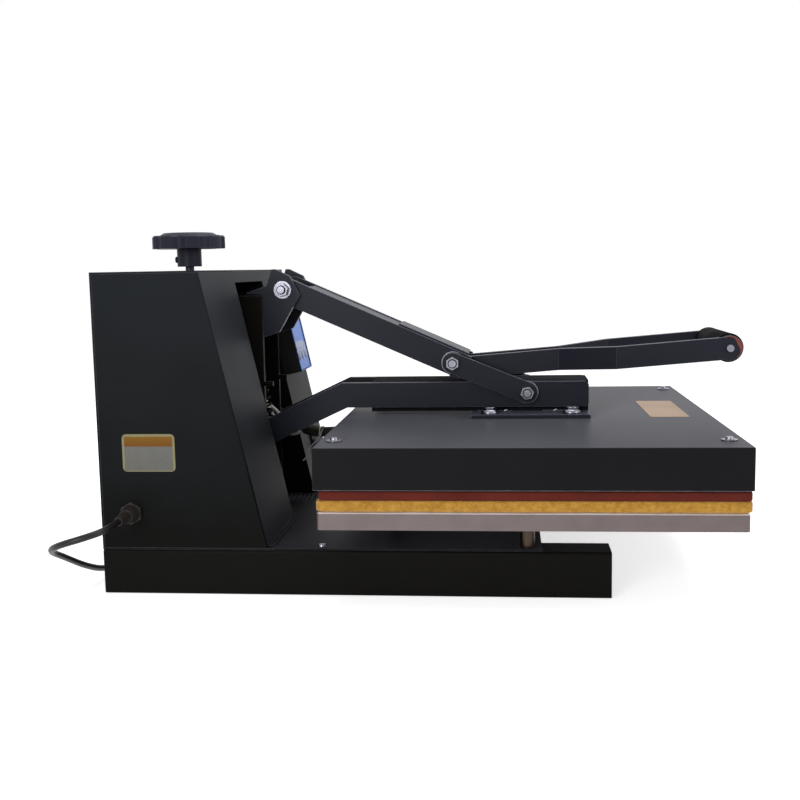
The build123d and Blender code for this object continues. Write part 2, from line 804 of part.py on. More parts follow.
core_top_z = lower_arm_z + arm_half + core_proud
with BuildPart() as lower_arm_core:
    with BuildSketch(Plane.YZ.offset(x_of(core_start_u))):
        with Locations((0, (foot_z + core_top_z) / 2)):
            Rectangle(2 * bar_inner, core_top_z - foot_z)
            Rectangle(2 * (bar_inner - core_wall), core_top_z - foot_z - 2 * core_wall, mode=Mode.SUBTRACT)
    extrude(amount=lower_arm_end_u - core_start_u - core_wall)
    with BuildSketch(Plane.YZ.offset(x_of(lower_arm_end_u - core_wall))):
        with Locations((0, (foot_z + core_top_z) / 2)):
            Rectangle(2 * bar_inner, core_top_z - foot_z)
    extrude(amount=core_wall)
    disc(
        pivot_plane(link_pivot_u, link_pivot_z, bar_inner + 1),
        hole_radius, 2 * bar_inner + 2, Mode.SUBTRACT,
    )
save(lower_arm_core.part, "lower_arm_core")

spring_foot_u = hinge_u + spring_foot_reach * cos(radians(slant_angle))
spring_foot_z = hinge_z + spring_foot_reach * sin(radians(slant_angle))
with BuildPart() as arm_cross_tubes:
    hinge_tube = pivot_plane(hinge_u, hinge_z, bar_inner)
    ring(hinge_tube, hinge_tube_radius, hinge_shaft_radius + running_clearance, 2 * bar_inner)
    disc(pivot_plane(spring_foot_u, spring_foot_z, bar_inner), spring_pin_radius, 2 * bar_inner)
save(arm_cross_tubes.part, "arm_cross_tubes")

with BuildPart() as spring_anchor_pin:
    disc(pivot_plane(spring_top_u, spring_top_z, cheek_outer), spring_pin_radius, 2 * cheek_outer)
save(spring_anchor_pin.part, "spring_anchor_pin")

# Heating platen: foot plate, folded cover, insulation, cast plate and its element
foot_bolt_u = (foot_start_u + foot_bolt_inset_u, foot_start_u + foot_length - foot_bolt_inset_u)
with BuildPart() as foot_plate:
    with BuildSketch(Plane.XY.offset(cover_top_z)):
        with Locations((x_of(foot_start_u + foot_length / 2), 0)):
            Rectangle(foot_length, 2 * foot_half_width)
        for bolt_u in foot_bolt_u:
            with Locations((x_of(bolt_u), foot_bolt_y), (x_of(bolt_u), -foot_bolt_y)):
                Circle(hole_radius, mode=Mode.SUBTRACT)
    extrude(amount=foot_thickness)
save(foot_plate.part, "foot_plate")

bolt_reach = foot_z - element_z + thread_depth
with BuildPart() as foot_bolts:
    for bolt_u in foot_bolt_u:
        for side in (-1, 1):
            seat = Plane(origin=(x_of(bolt_u), side * foot_bolt_y, foot_z))
            ring(seat, washer_radius, bolt_radius, washer_thickness)
            hexagon(seat.offset(washer_thickness), nut_flats, head_height)
            disc(seat.offset(washer_thickness), bolt_radius, -(bolt_reach + washer_thickness))
save(foot_bolts.part, "foot_bolts")

cover_middle_u = cover_rear_u + cover_length / 2
cover_screw_u = (cover_rear_u + cover_screw_inset_u, cover_rear_u + cover_length - cover_screw_inset_u)
with BuildPart() as platen_cover:
    with BuildSketch(Plane.XY.offset(cover_bottom_z)):
        with Locations((x_of(cover_middle_u), 0)):
            RectangleRounded(cover_length, cover_width, 2.5)
    extrude(amount=cover_height)
    fillet(platen_cover.faces().sort_by(Axis.Z)[-1].edges(), 1.2)
    with BuildSketch(Plane.XY.offset(cover_bottom_z)):
        with Locations((x_of(cover_middle_u), 0)):
            Rectangle(cover_length - 2 * cover_sheet, cover_width - 2 * cover_sheet)
    extrude(amount=cover_height - cover_sheet, mode=Mode.SUBTRACT)
    for bolt_u in foot_bolt_u:
        for side in (-1, 1):
            seat = Plane(origin=(x_of(bolt_u), side * foot_bolt_y, cover_top_z + 1))
            disc(seat, hole_radius, -(cover_sheet + 2), Mode.SUBTRACT)
    for screw_u in cover_screw_u:
        for side in (-1, 1):
            seat = Plane(origin=(x_of(screw_u), side * cover_screw_y, cover_top_z + 1))
            disc(seat, screw_hole_radius, -(cover_sheet + 2), Mode.SUBTRACT)
    harness_seat = Plane(origin=(x_of(cover_rear_u), harness_y, harness_z), z_dir=(-1, 0, 0))
    disc(harness_seat.offset(1), harness_radius, -(cover_sheet + 2), Mode.SUBTRACT)
save(platen_cover.part, "platen_cover")

with BuildPart() as cover_screws:
    for screw_u in cover_screw_u:
        for side in (-1, 1):
            seat = Plane(origin=(x_of(screw_u), side * cover_screw_y, cover_top_z))
            ring(seat, washer_radius - 2.0, screw_radius, 1.2)
            pan_screw(seat.offset(1.2), 2.4, cover_top_z + 1.2 - element_z + thread_depth)
save(cover_screws.part, "cover_screws")

with BuildPart() as insulation_blanket:
    with BuildSketch(Plane.XY.offset(blanket_z)):
        with Locations((x_of(cover_middle_u), 0)):
            Rectangle(plate_length - 8, plate_width - 8)
        for bolt_u in foot_bolt_u:
            with Locations((x_of(bolt_u), foot_bolt_y), (x_of(bolt_u), -foot_bolt_y)):
                Circle(bolt_radius + 0.4, mode=Mode.SUBTRACT)
        for screw_u in cover_screw_u:
            with Locations((x_of(screw_u), cover_screw_y), (x_of(screw_u), -cover_screw_y)):
                Circle(screw_radius + 0.4, mode=Mode.SUBTRACT)
    extrude(amount=blanket_thickness)
save(insulation_blanket.part, "insulation_blanket")

with BuildPart() as heating_plate:
    with BuildSketch(Plane.XY.offset(heater_z)):
        with Locations((x_of(cover_middle_u), 0)):
            RectangleRounded(plate_length, plate_width, 4.0)
    extrude(amount=heater_thickness)
    bosses = [(bolt_u, foot_bolt_y, bolt_radius) for bolt_u in foot_bolt_u]
    bosses += [(screw_u, cover_screw_y, screw_radius) for screw_u in cover_screw_u]
    for boss_u, boss_y, thread_radius in bosses:
        for side in (-1, 1):
            boss = Plane(origin=(x_of(boss_u), side * boss_y, element_z))
            disc(boss, thread_radius + 5.0, boss_height)
            drill = boss.offset(boss_height)
            disc(drill, thread_radius + running_clearance, -boss_height - thread_depth - 1, Mode.SUBTRACT)
    groove = 4 * element_radius
    with BuildSketch(Plane.XY.offset(element_z)):
        with Locations((x_of(cover_middle_u), 0)):
            RectangleRounded(element_length, element_width, element_bend + element_radius)
            inner_size = (element_length - groove, element_width - groove)
            RectangleRounded(*inner_size, element_bend - element_radius, mode=Mode.SUBTRACT)
    extrude(amount=-element_radius, mode=Mode.SUBTRACT)
save(heating_plate.part, "heating_plate")

with BuildPart() as heating_element:
    reach_x = element_length / 2 - element_radius
    reach_y = element_width / 2 - element_radius
    left = x_of(cover_middle_u) - reach_x
    right = x_of(cover_middle_u) + reach_x
    far_side = [(left, element_gap), (left, reach_y), (right, reach_y)]
    corners = far_side + [(x, -y) for x, y in far_side[::-1]]
    with BuildLine(Plane.XY.offset(element_z)) as element_path:
        FilletPolyline(*corners, radius=element_bend)
    with BuildSketch(Plane(origin=element_path.wire() @ 0, z_dir=(0, 1, 0))):
        RegularPolygon(radius=element_radius - 0.2, side_count=8)
    sweep()
save(heating_element.part, "heating_element")

# Toggle links beside both arms, and the bolts of the lower and the elbow pivot
link_inner = arm_half_width + 0.2 + large_washer_thickness
link_outer = link_inner + link_plate
with BuildPart() as toggle_links:
    with BuildSketch(pivot_plane(link_pivot_u, link_pivot_z, -link_inner, link_angle)):
        with Locations((-link_length / 2, 0)):
            SlotCenterToCenter(link_length, link_width)
        with Locations((0, 0), (-link_length, 0)):
            Circle(hole_radius, mode=Mode.SUBTRACT)
    extrude(amount=link_plate)
    mirror(about=Plane.XZ)
save(toggle_links.part, "toggle_links")

link_face = link_outer + side_play / 5
with BuildPart() as link_pivot_fasteners:
    stud_half = link_face + nut_height + thread_stub
    disc(pivot_plane(link_pivot_u, link_pivot_z, stud_half), bolt_radius, 2 * stud_half)
    for side in (-1, 1):
        spacer_y = -arm_half_width if side < 0 else arm_half_width + large_washer_thickness
        ring(
            pivot_plane(link_pivot_u, link_pivot_z, spacer_y),
            large_washer_radius, bolt_radius - 0.5, large_washer_thickness,
        )
        nut_y = -link_face if side < 0 else link_face + nut_height
        hexagon(pivot_plane(link_pivot_u, link_pivot_z, nut_y, 10), nut_flats, nut_height)
save(link_pivot_fasteners.part, "link_pivot_fasteners")

washer_face = link_inner - large_washer_thickness
with BuildPart() as elbow_fasteners:
    for side in (-1, 1):
        stud_length = link_outer + nut_height + thread_stub - washer_face
        stud_y = -washer_face if side < 0 else washer_face + stud_length
        disc(pivot_plane(elbow_u, elbow_z, stud_y), bolt_radius, stud_length)
        spacer_y = -washer_face if side < 0 else link_inner
        spacer_seat = pivot_plane(elbow_u, elbow_z, spacer_y)
        ring(spacer_seat, large_washer_radius, bolt_radius - 0.5, large_washer_thickness)
        nut_y = -link_outer if side < 0 else link_outer + nut_height
        hexagon(pivot_plane(elbow_u, elbow_z, nut_y, 30), nut_flats, nut_height)
save(elbow_fasteners.part, "elbow_fasteners")

# Pads and the lower platen on its posts
platen_rear_u = cover_rear_u + (cover_length - plate_length) / 2
with BuildPart() as silicone_pad:
    with BuildSketch(Plane.XY.offset(silicone_z)):
        with Locations((x_of(cover_middle_u + silicone_shift_u), 0)):
            RectangleRounded(plate_length - 2 * silicone_inset, plate_width + 2 * pad_overhang, 5.0)
    extrude(amount=silicone_thickness)
save(silicone_pad.part, "silicone_pad")

with BuildPart() as felt_pad:
    with BuildSketch(Plane.XY.offset(felt_z)):
        with Locations((x_of(cover_middle_u + felt_shift_u), 0)):
            RectangleRounded(plate_length + 2 * felt_overhang_u, plate_width + 2 * pad_overhang, 4.0)
    extrude(amount=felt_thickness)
save(felt_pad.part, "felt_pad")

with BuildPart() as lower_platen:
    with BuildSketch(Plane.XY.offset(lower_platen_z)):
        with Locations((x_of(platen_rear_u + plate_length / 2), 0)):
            RectangleRounded(plate_length, plate_width, 4.0)
    extrude(amount=lower_platen_thickness)
    chamfer(lower_platen.faces().sort_by(Axis.Z)[-1].edges(), platen_chamfer)
save(lower_platen.part, "lower_platen")

with BuildPart() as platen_posts:
    for place_u, place_y in ((front_post_u, front_post_y), (rear_post_u, rear_post_y)):
        for side in (-1, 1):
            post_base = Plane(origin=(x_of(place_u), side * place_y, deck_z))
            disc(post_base, post_radius, lower_platen_z - deck_z)
save(platen_posts.part, "platen_posts")

# Controller on the far front band: box, face panel, buttons, board and power switch
box_middle_z = control_box_bottom_z + control_box_height / 2
box_middle_y = half_slot + control_box_width / 2
box_plane = front_plane(box_middle_z, box_middle_y)
box_wall = 2.0
with BuildPart() as control_box:
    with BuildSketch(box_plane):
        Rectangle(control_box_width, control_box_height)
    extrude(amount=control_box_depth)
    fillet(control_box.edges().filter_by(lambda e: abs(e.tangent_at(0.5).dot(box_plane.z_dir)) > 0.99), 2.0)
    with BuildSketch(box_plane):
        Rectangle(control_box_width - 2 * box_wall, control_box_height - 2 * box_wall)
    extrude(amount=control_box_depth - panel_thickness - 1.5, mode=Mode.SUBTRACT)
    with BuildSketch(box_plane.offset(control_box_depth)):
        Rectangle(control_box_width - 2 * box_wall, control_box_height - 2 * box_wall)
    extrude(amount=-panel_thickness, mode=Mode.SUBTRACT)
    button_places = [(row * button_spacing, -button_drop) for row in (-1, 0, 1)]
    with BuildSketch(box_plane.offset(control_box_depth)):
        with Locations(*button_places):
            Circle(button_radius - 1.5)
    extrude(amount=-(panel_thickness + 3), mode=Mode.SUBTRACT)
save(control_box.part, "control_box")

panel_plane = box_plane.offset(control_box_depth - panel_thickness)
with BuildPart() as control_panel:
    with BuildSketch(panel_plane):
        Rectangle(control_box_width - 2 * box_wall, control_box_height - 2 * box_wall)
        with Locations(*button_places):
            Circle(button_radius + button_gap, mode=Mode.SUBTRACT)
    extrude(amount=panel_thickness)
save(control_panel.part, "control_panel")

for name, place in zip(("button_mode", "button_minus", "button_plus"), button_places):
    with BuildPart() as button:
        with BuildSketch(panel_plane.offset(button_travel + 0.1)):
            with Locations(place):
                Circle(button_radius)
        extrude(amount=panel_thickness + button_rise - button_travel - 0.1)
        top_rim = button.faces().sort_by(lambda f: f.center().dot(box_plane.z_dir))[-1].edges()
        fillet(top_rim, 0.5)
        with BuildSketch(panel_plane.offset(button_travel + 0.1)):
            with Locations(place):
                Circle(button_radius - 1.7)
        extrude(amount=-(button_travel + 1.2))
    save(button.part, name)

with BuildPart() as controller_board:
    with BuildSketch(box_plane.offset(2)):
        Rectangle(control_box_width - 2 * box_wall - 1, control_box_height - 2 * box_wall - 1)
    extrude(amount=1.6)
    with BuildSketch(box_plane.offset(3.6)):
        with Locations((0, 18)):
            Rectangle(44, 26)
        with Locations((-16, -16), (14, -14)):
            Rectangle(16, 12)
    extrude(amount=7)
save(controller_board.part, "controller_board")

rocker_width = switch_width - 6
rocker_height = switch_height - 8
rocker_well = (rocker_width + 2 * rocker_gap, rocker_height + 2 * rocker_gap)
with BuildPart() as switch_body:
    with BuildSketch(switch_plane):
        RectangleRounded(switch_width + 6, switch_height + 6, 2.0)
        Rectangle(*rocker_well, mode=Mode.SUBTRACT)
    extrude(amount=2.0)
    with BuildSketch(switch_plane):
        Rectangle(switch_width, switch_height)
        Rectangle(*rocker_well, mode=Mode.SUBTRACT)
    extrude(amount=-switch_depth)
    with BuildSketch(switch_plane.offset(-switch_depth)):
        Rectangle(switch_width, switch_height)
    extrude(amount=2.0)
save(switch_body.part, "power_switch_body")

rocker_axis = switch_plane.offset(-rocker_axis_depth)
with BuildPart() as rocker:
    rocker_way = front_tilt + radians(rocker_tilt)
    rocker_up = (cos(rocker_way), 0, sin(rocker_way))
    rocker_side = Plane(origin=rocker_axis.origin, x_dir=rocker_up, z_dir=(0, 1, 0))
    with BuildSketch(rocker_side):
        with BuildLine():
            Polyline(
                (-3.5, -3.0),
                (-3.5, 3.0),
                (4.2, rocker_height / 2 - 0.6),
                (8.6, rocker_height / 2 - 1.2),
                (6.4, 0),
                (8.6, -rocker_height / 2 + 1.2),
                (4.2, -rocker_height / 2 + 0.6),
                close=True,
            )
        make_face()
    extrude(amount=rocker_width / 2, both=True)
save(rocker.part, "power_rocker")

with BuildPart() as solid_state_relay:
    relay_plane = Plane(origin=(x_of(sheet), -housing_middle_y, 150.0), z_dir=(1, 0, 0))
    block(relay_plane, relay_length, relay_width, relay_base)
    block(relay_plane.offset(relay_base), relay_length, relay_width - 5, relay_height)
save(solid_state_relay.part, "solid_state_relay")

with BuildPart() as terminal_block:
    strip_plane = Plane(origin=(x_of(strip_u), -housing_middle_y, deck_z))
    block(strip_plane, strip_width, pole_count * pole_pitch, strip_height)
    for pole in range(pole_count):
        post_y = -housing_middle_y + (pole - (pole_count - 1) / 2) * pole_pitch
        post = Plane(origin=(x_of(strip_u), post_y, deck_z + strip_height))
        block(post, strip_width - 6, pole_rib, pole_rise)
save(terminal_block.part, "terminal_block")


def free_path(points):
    """Straight runs joined by arcs that are as large as their two runs allow."""
    radii = []
    for index in range(1, len(points) - 1):
        before = Vector(*points[index]) - Vector(*points[index - 1])
        after = Vector(*points[index + 1]) - Vector(*points[index])
        half_turn = radians(before.get_angle(after)) / 2
        radii.append(0.45 * min(before.length, after.length) / tan(half_turn))
    with BuildLine() as path:
        FilletPolyline(*[Vector(*p) for p in points], radius=radii)
    return path.wires()[0], radii


def check_tube(name, part, section, wire, radii):
    """Print the bend radii and compare the tube's volume with its section times its length."""
    print(name, "radii", [round(r, 1) for r in radii], "length", round(wire.length, 1))
    print(name, "volume ratio", round(part.volume / (section * wire.length), 4))


# Wiring harness: a sleeve from the slot's far wall to the back of the platen cover
harness_points = [
    (x_of(harness_exit_u), half_slot + 12.0, harness_exit_z),
    (x_of(harness_exit_u), 56.0, harness_exit_z),
    (x_of(127.0), 51.5, 160.0),
    (x_of(142.0), 50.5, 145.0),
    (x_of(161.0), 44.5, 133.0),
    (x_of(185.0), 38.0, 128.5),
    (x_of(207.0), harness_y, harness_z),
    (x_of(cover_rear_u + 1.0), harness_y, harness_z),
]
harness_wire, harness_radii = free_path(harness_points)
with BuildPart() as wiring_harness:
    add(harness_wire)
    with BuildSketch(Plane(origin=harness_wire @ 0, z_dir=harness_wire % 0)) as harness_section:
        RegularPolygon(radius=harness_radius - harness_gap, side_count=8)
    sweep(harness_section.sketch, path=harness_wire)
check_tube("harness", wiring_harness.part, harness_section.sketch.area, harness_wire, harness_radii)
save(wiring_harness.part, "wiring_harness")

# Cable gland on the near wall: flange, dome cap and a tapered strain relief sleeve
with BuildPart() as cable_gland:
    gland_plane = Plane(origin=(x_of(gland_u), -half_base, gland_z), z_dir=(0, -1, 0))
    hexagon(gland_plane, gland_flats, gland_flange)
    disc(gland_plane, gland_thread_radius, -(sheet + 7))
    with BuildSketch(gland_plane.offset(gland_flange)) as cap_base:
        Circle(gland_flats / 2 - 0.6)
    extrude(cap_base.sketch, amount=gland_cap_length, taper=9)
    with BuildSketch(gland_plane.offset(gland_flange + gland_cap_length)) as sleeve_base:
        Circle(cord_radius + 3.0)
    extrude(sleeve_base.sketch, amount=gland_sleeve_length, taper=5)
save(cable_gland.part, "cable_gland")

# Mains lead: a free tube from the sleeve round the tower's corner to the coil
cord_exit_y = -half_base - gland_flange - gland_cap_length - gland_sleeve_length
coil_pitch = 2 * cord_radius + coil_gap
coil_outer_radius = coil_inner_radius + coil_pitch * coil_turns
coil_low_z = cord_radius + 0.05
coil_entry = (x_of(coil_u) + coil_outer_radius, coil_y - 2 * cord_radius, coil_low_z)
cord_points = [
    (x_of(gland_u), cord_exit_y, gland_z),
    (x_of(gland_u), -268.4, gland_z - 1.0),
    (x_of(14.6), -286.0, 79.0),
    (x_of(-10.0), -286.0, 72.0),
    (x_of(-27.4), -268.4, 62.0),
    (x_of(-27.4), -234.0, 47.0),
    (x_of(-24.0), -196.0, 28.0),
    (x_of(-21.0), -155.0, 12.0),
    (x_of(-19.0), -110.0, coil_low_z + 0.6),
    (x_of(-20.5), -58.0, coil_low_z),
    (x_of(-22.5), -2.0, coil_low_z),
    (coil_entry[0], 60.0, coil_low_z),
    coil_entry,
]
cord_wire, cord_radii = free_path(cord_points)
with BuildPart() as power_cord:
    add(cord_wire)
    with BuildSketch(Plane(origin=cord_wire @ 0, z_dir=cord_wire % 0)) as cord_section:
        RegularPolygon(radius=cord_radius, side_count=8)
    sweep(cord_section.sketch, path=cord_wire)
check_tube("cord", power_cord.part, cord_section.sketch.area, cord_wire, cord_radii)
save(power_cord.part, "power_cord")


def coil_point(turn):
    """Point of the coil's centre line: in on the low layer, up at the reversal, out on the high layer."""
    angle = 2 * pi * (turn + coil_turns)
    radius = coil_inner_radius + coil_pitch * abs(turn)
    climb = min(max((turn + 0.25) / 0.5, 0.0), 1.0)
    height = coil_low_z + coil_pitch * (3 * climb ** 2 - 2 * climb ** 3)
    return Vector(x_of(coil_u) + radius * cos(angle), coil_y + radius * sin(angle), height)


def spring_point(turn):
    """Point of the return spring's centre line between its two hooks."""
    angle = 2 * pi * turn
    share = turn / spring_turns
    centre = spring_start + (spring_stop - spring_start) * share
    return centre + spring_front * (spring_radius * cos(angle)) - spring_side * (spring_radius * sin(angle))


def biarc(start, start_way, stop, stop_way):
    """Middle point and middle direction of two arcs that join two places along two directions."""
    chord = stop - start
    both = start_way + stop_way
    spread = 2 * (1 - start_way.dot(stop_way))
    across = chord.dot(both)
    if spread < 1e-9:
        reach = chord.dot(chord) / (2 * across)
    else:
        reach = (-across + sqrt(across ** 2 + spread * chord.dot(chord))) / spread
    first, second = start + start_way * reach, stop - stop_way * reach
    return (first + second) * 0.5, (second - first).normalized()


def wound_path(point_at, first_turn, last_turn, start_line, stop_line):
    """Biarc path through quarter turns of a winding, from a first straight line to a last one."""
    count = round((last_turn - first_turn) * 4)
    turns = [first_turn + index / 4 for index in range(count + 1)]
    small = 1e-4
    knots = [(point_at(t), (point_at(t + small) - point_at(t - small)).normalized()) for t in turns]
    start_knot = (start_line[1], (start_line[1] - start_line[0]).normalized())
    stop_knot = (stop_line[0], (stop_line[1] - stop_line[0]).normalized())
    if (knots[0][0] - start_knot[0]).length < 0.01:
        knots = knots[1:-1]
    knots = [start_knot] + knots + [stop_knot]
    with BuildLine() as path:
        Line(*start_line)
        for (here, way), (there, next_way) in zip(knots, knots[1:]):
            middle, middle_way = biarc(here, way, there, next_way)
            TangentArc(here, middle, tangent=way)
            TangentArc(middle, there, tangent=middle_way)
        Line(*stop_line)
    return path.line


def least_self_gap(point_at, first_turn, last_turn, wire_radius):
    """Least gap between points of a winding that lie at least half a turn apart, in millimetres."""
    steps = 48
    count = round((last_turn - first_turn) * steps)
    points = [point_at(first_turn + index / steps) for index in range(count + 1)]
    least = min(
        (points[i] - points[j]).length
        for i in range(count + 1)
        for j in range(i + steps // 2, min(i + 2 * steps, count + 1))
    )
    return least - 2 * wire_radius


coil_from, coil_to = coil_point(-coil_turns), coil_point(coil_turns)
coil_entry_line = (coil_from - Vector(0, 2 * cord_radius, 0), coil_from)
plug_line = (coil_to, coil_to + Vector(0, plug_lead, 0))
with BuildPart() as cord_coil:
    with BuildLine() as coil_path:
        add(wound_path(coil_point, -coil_turns, coil_turns, coil_entry_line, plug_line))
    coil_wire = coil_path.wire()
    with BuildSketch(Plane(origin=coil_wire @ 0, x_dir=(1, 0, 0), z_dir=(0, 1, 0))) as coil_section:
        RegularPolygon(radius=cord_radius, side_count=8)
    sweep(coil_section.sketch, path=coil_wire)
coil_least = least_self_gap(coil_point, -coil_turns, coil_turns, cord_radius)
print("coil length", round(coil_wire.length, 1), "least gap", round(coil_least, 2))
save(cord_coil.part, "cord_coil")

plug_entry = plug_line[1]
plug_plane = Plane(origin=(plug_entry.X, plug_entry.Y, plug_entry.Z), x_dir=(1, 0, 0), z_dir=(0, 1, 0))
plug_half_height = plug_entry.Z - 0.05
with BuildPart() as power_plug:
    with BuildSketch(plug_plane) as collar:
        Circle(cord_radius + 1.5)
    extrude(collar.sketch, amount=14.0)
    with BuildSketch(plug_plane.offset(12.0)) as plug_rear:
        RectangleRounded(plug_width - 8, 2 * plug_half_height - 5, 4.0)
    with BuildSketch(plug_plane.offset(plug_length)) as plug_front:
        RectangleRounded(plug_width, 2 * plug_half_height, 4.0)
    loft([plug_rear.sketch.faces()[0], plug_front.sketch.faces()[0]], ruled=True)
    plug_face = plug_plane.offset(plug_length)
    with BuildSketch(plug_face):
        with Locations((-pin_spacing / 2, -pin_raise), (pin_spacing / 2, -pin_raise)):
            Rectangle(*pin_size)
    extrude(amount=pin_length)
    with BuildSketch(plug_face):
        with Locations((0, pin_drop)):
            Circle(earth_pin_radius)
    extrude(amount=pin_length + 2)
save(power_plug.part, "power_plug")

# Return spring between the mast's anchor pin and the lower arm's pin, with a hook at each end
hook_radius = spring_pin_radius + spring_wire_radius + hook_gap
anchor = Vector(x_of(spring_top_u), 0, spring_top_z)
foot = Vector(x_of(spring_foot_u), 0, spring_foot_z)
spring_axis = (foot - anchor).normalized()
spring_side = Vector(0, 1, 0)
spring_front = spring_axis.cross(spring_side)
spring_start = anchor + spring_axis * (hook_leg + hook_rise)
spring_stop = foot - spring_axis * (hook_leg + hook_rise)


def hook(pin, away):
    """Half loop over a pin and its straight leg, from the open end to the coil."""
    open_side, leg_side = pin - spring_front * hook_radius, pin + spring_front * hook_radius
    over = pin - away * hook_radius
    tip = open_side + away * (2 * spring_wire_radius)
    return tip, open_side, over, leg_side, leg_side + away * hook_leg


top_hook = hook(anchor, spring_axis)
foot_hook = hook(foot, -spring_axis)
with BuildPart() as return_spring:
    with BuildLine() as spring_path:
        Line(top_hook[0], top_hook[1])
        ThreePointArc(top_hook[1], top_hook[2], top_hook[3])
        add(wound_path(spring_point, 0, spring_turns, top_hook[3:], foot_hook[:2:-1]))
        ThreePointArc(foot_hook[3], foot_hook[2], foot_hook[1])
        Line(foot_hook[1], foot_hook[0])
    spring_wire = spring_path.wire()
    with BuildSketch(Plane(origin=top_hook[0], x_dir=spring_front, z_dir=spring_axis * -1)) as spring_section:
        RegularPolygon(radius=spring_wire_radius, side_count=6)
    sweep(spring_section.sketch, path=spring_wire)
spring_least = least_self_gap(spring_point, 0, spring_turns, spring_wire_radius)
print("spring length", round(spring_wire.length, 1), "least gap", round(spring_least, 2))
save(return_spring.part, "return_spring")
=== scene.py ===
# %% [markdown]
# # Flat heat press
# A sheet steel tower carries a toggle press. Its knob sets the pressure and its handle closes a heated
# plate on two pads and a cast platen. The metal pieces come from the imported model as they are. This
# script gives them their finishes and makes what is soft, thin or small: pads, cords, wires, weld beads,
# plates, rings and crowns.

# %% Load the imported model
import json
import math
import bmesh
import bpy
import numpy as np
from mathutils import Matrix, Vector


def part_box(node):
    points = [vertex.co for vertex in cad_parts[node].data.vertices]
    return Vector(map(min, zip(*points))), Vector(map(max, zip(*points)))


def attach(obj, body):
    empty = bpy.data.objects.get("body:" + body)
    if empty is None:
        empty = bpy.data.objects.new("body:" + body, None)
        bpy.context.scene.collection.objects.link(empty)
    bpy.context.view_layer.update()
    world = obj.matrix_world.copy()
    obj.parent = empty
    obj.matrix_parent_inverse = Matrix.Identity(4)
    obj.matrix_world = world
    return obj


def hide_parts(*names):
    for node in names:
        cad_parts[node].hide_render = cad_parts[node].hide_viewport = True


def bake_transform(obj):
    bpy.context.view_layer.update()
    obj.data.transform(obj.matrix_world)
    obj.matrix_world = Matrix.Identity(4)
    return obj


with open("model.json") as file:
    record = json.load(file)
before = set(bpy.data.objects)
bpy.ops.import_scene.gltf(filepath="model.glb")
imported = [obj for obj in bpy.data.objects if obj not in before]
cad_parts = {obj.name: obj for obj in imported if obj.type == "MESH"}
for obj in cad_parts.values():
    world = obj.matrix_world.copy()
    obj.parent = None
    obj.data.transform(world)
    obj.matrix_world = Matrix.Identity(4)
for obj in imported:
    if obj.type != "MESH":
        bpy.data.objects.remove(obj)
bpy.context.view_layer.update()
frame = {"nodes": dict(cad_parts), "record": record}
nodes = frame["nodes"]
back_x = -329.2


def place(u, y, z):
    """Metres in the model's frame: x = (back_x + u) / 1000, where u is counted from the tower's back face."""
    return ((back_x + u) / 1000, y / 1000, z / 1000)


def in_frame(route):
    """Place or route in u, y, z to the frame's millimetres."""
    return np.asarray(route, float) + np.array([back_x, 0.0, 0.0])


def box_mm(node):
    """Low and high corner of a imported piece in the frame's millimetres."""
    return np.array(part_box(node)) * 1000


# %% [markdown]
# ## Camera
# The photograph was taken from the press's near side, a little above the cover. The camera's place and its
# three turns were worked out from the corners of the cover, the platen and the base, so they are written
# here as numbers: a heading, a downward pitch and a slight roll.

# %% Camera
heading, pitch, roll = -0.0987, 0.1217, -0.0185
forward = Vector((math.sin(heading) * math.cos(pitch), math.cos(heading) * math.cos(pitch), -math.sin(pitch)))
level_right = Vector((math.cos(heading), -math.sin(heading), 0))
level_up = level_right.cross(forward)
right = level_right * math.cos(roll) + level_up * math.sin(roll)
up = level_up * math.cos(roll) - level_right * math.sin(roll)
lens = bpy.data.cameras.new("camera")
lens.lens = 48.23
lens.sensor_width = 36.0
lens.clip_start = 0.05
camera = bpy.data.objects.new("camera", lens)
camera.matrix_world = Matrix((right, up, -forward)).transposed().to_4x4()
camera.location = (0.0778, -1.2279, 0.32285)
bpy.context.scene.collection.objects.link(camera)
bpy.context.scene.camera = camera
print("camera at", tuple(camera.location))

# %% [markdown]
# ## Colours and nodes
# Colours are written as sRGB hex, the way a paint chart gives them, and one function turns them to linear
# light. Every material is a small tree of nodes, so a second function adds one node with its values and
# links. Patterns read Object coordinates, which are metres here, so a pattern of a few tenths of a
# millimetre gets its scale from its real size.

# %% Colour and node helpers
def colour(code):
    """sRGB hex to linear light: ((c + 0.055) / 1.055) ** 2.4 for each channel c from 0 to 1."""
    channels = np.array([int(code[i:i + 2], 16) for i in (1, 3, 5)]) / 255
    linear = np.where(channels > 0.04045, ((channels + 0.055) / 1.055) ** 2.4, channels / 12.92)
    return (*linear, 1.0)


def cells(size_mm):
    """Scale of a pattern on metres whose cells are size_mm across."""
    return 1000.0 / size_mm


def add(tree, kind, inputs=None, **settings):
    """Add one node: settings are its properties, inputs its sockets, as values or as other nodes' outputs."""
    node = tree.nodes.new("ShaderNode" + kind)
    for key, value in settings.items():
        setattr(node, key, value)
    for key, value in (inputs or {}).items():
        if isinstance(value, bpy.types.NodeSocket):
            tree.links.new(value, node.inputs[key])
        else:
            node.inputs[key].default_value = value
    return node


def mix(tree, factor, first, second, **settings):
    """Colour that goes from first to second with factor. Each is a hex code or another node's output."""
    ends = (colour(end) if isinstance(end, str) else end for end in (first, second))
    inputs = dict(zip(("Factor", "A", "B"), (factor, *ends)))
    return add(tree, "Mix", inputs, data_type="RGBA", **settings).outputs["Result"]


def axis(tree, vector, name):
    """One axis of a vector, such as Z."""
    return add(tree, "SeparateXYZ", {"Vector": vector}).outputs[name]


def drive(tree, shader, **sockets):
    """Link outputs to the shader's sockets of the same names."""
    for key, output in sockets.items():
        tree.links.new(output, shader.inputs[key.replace("_", " ")])


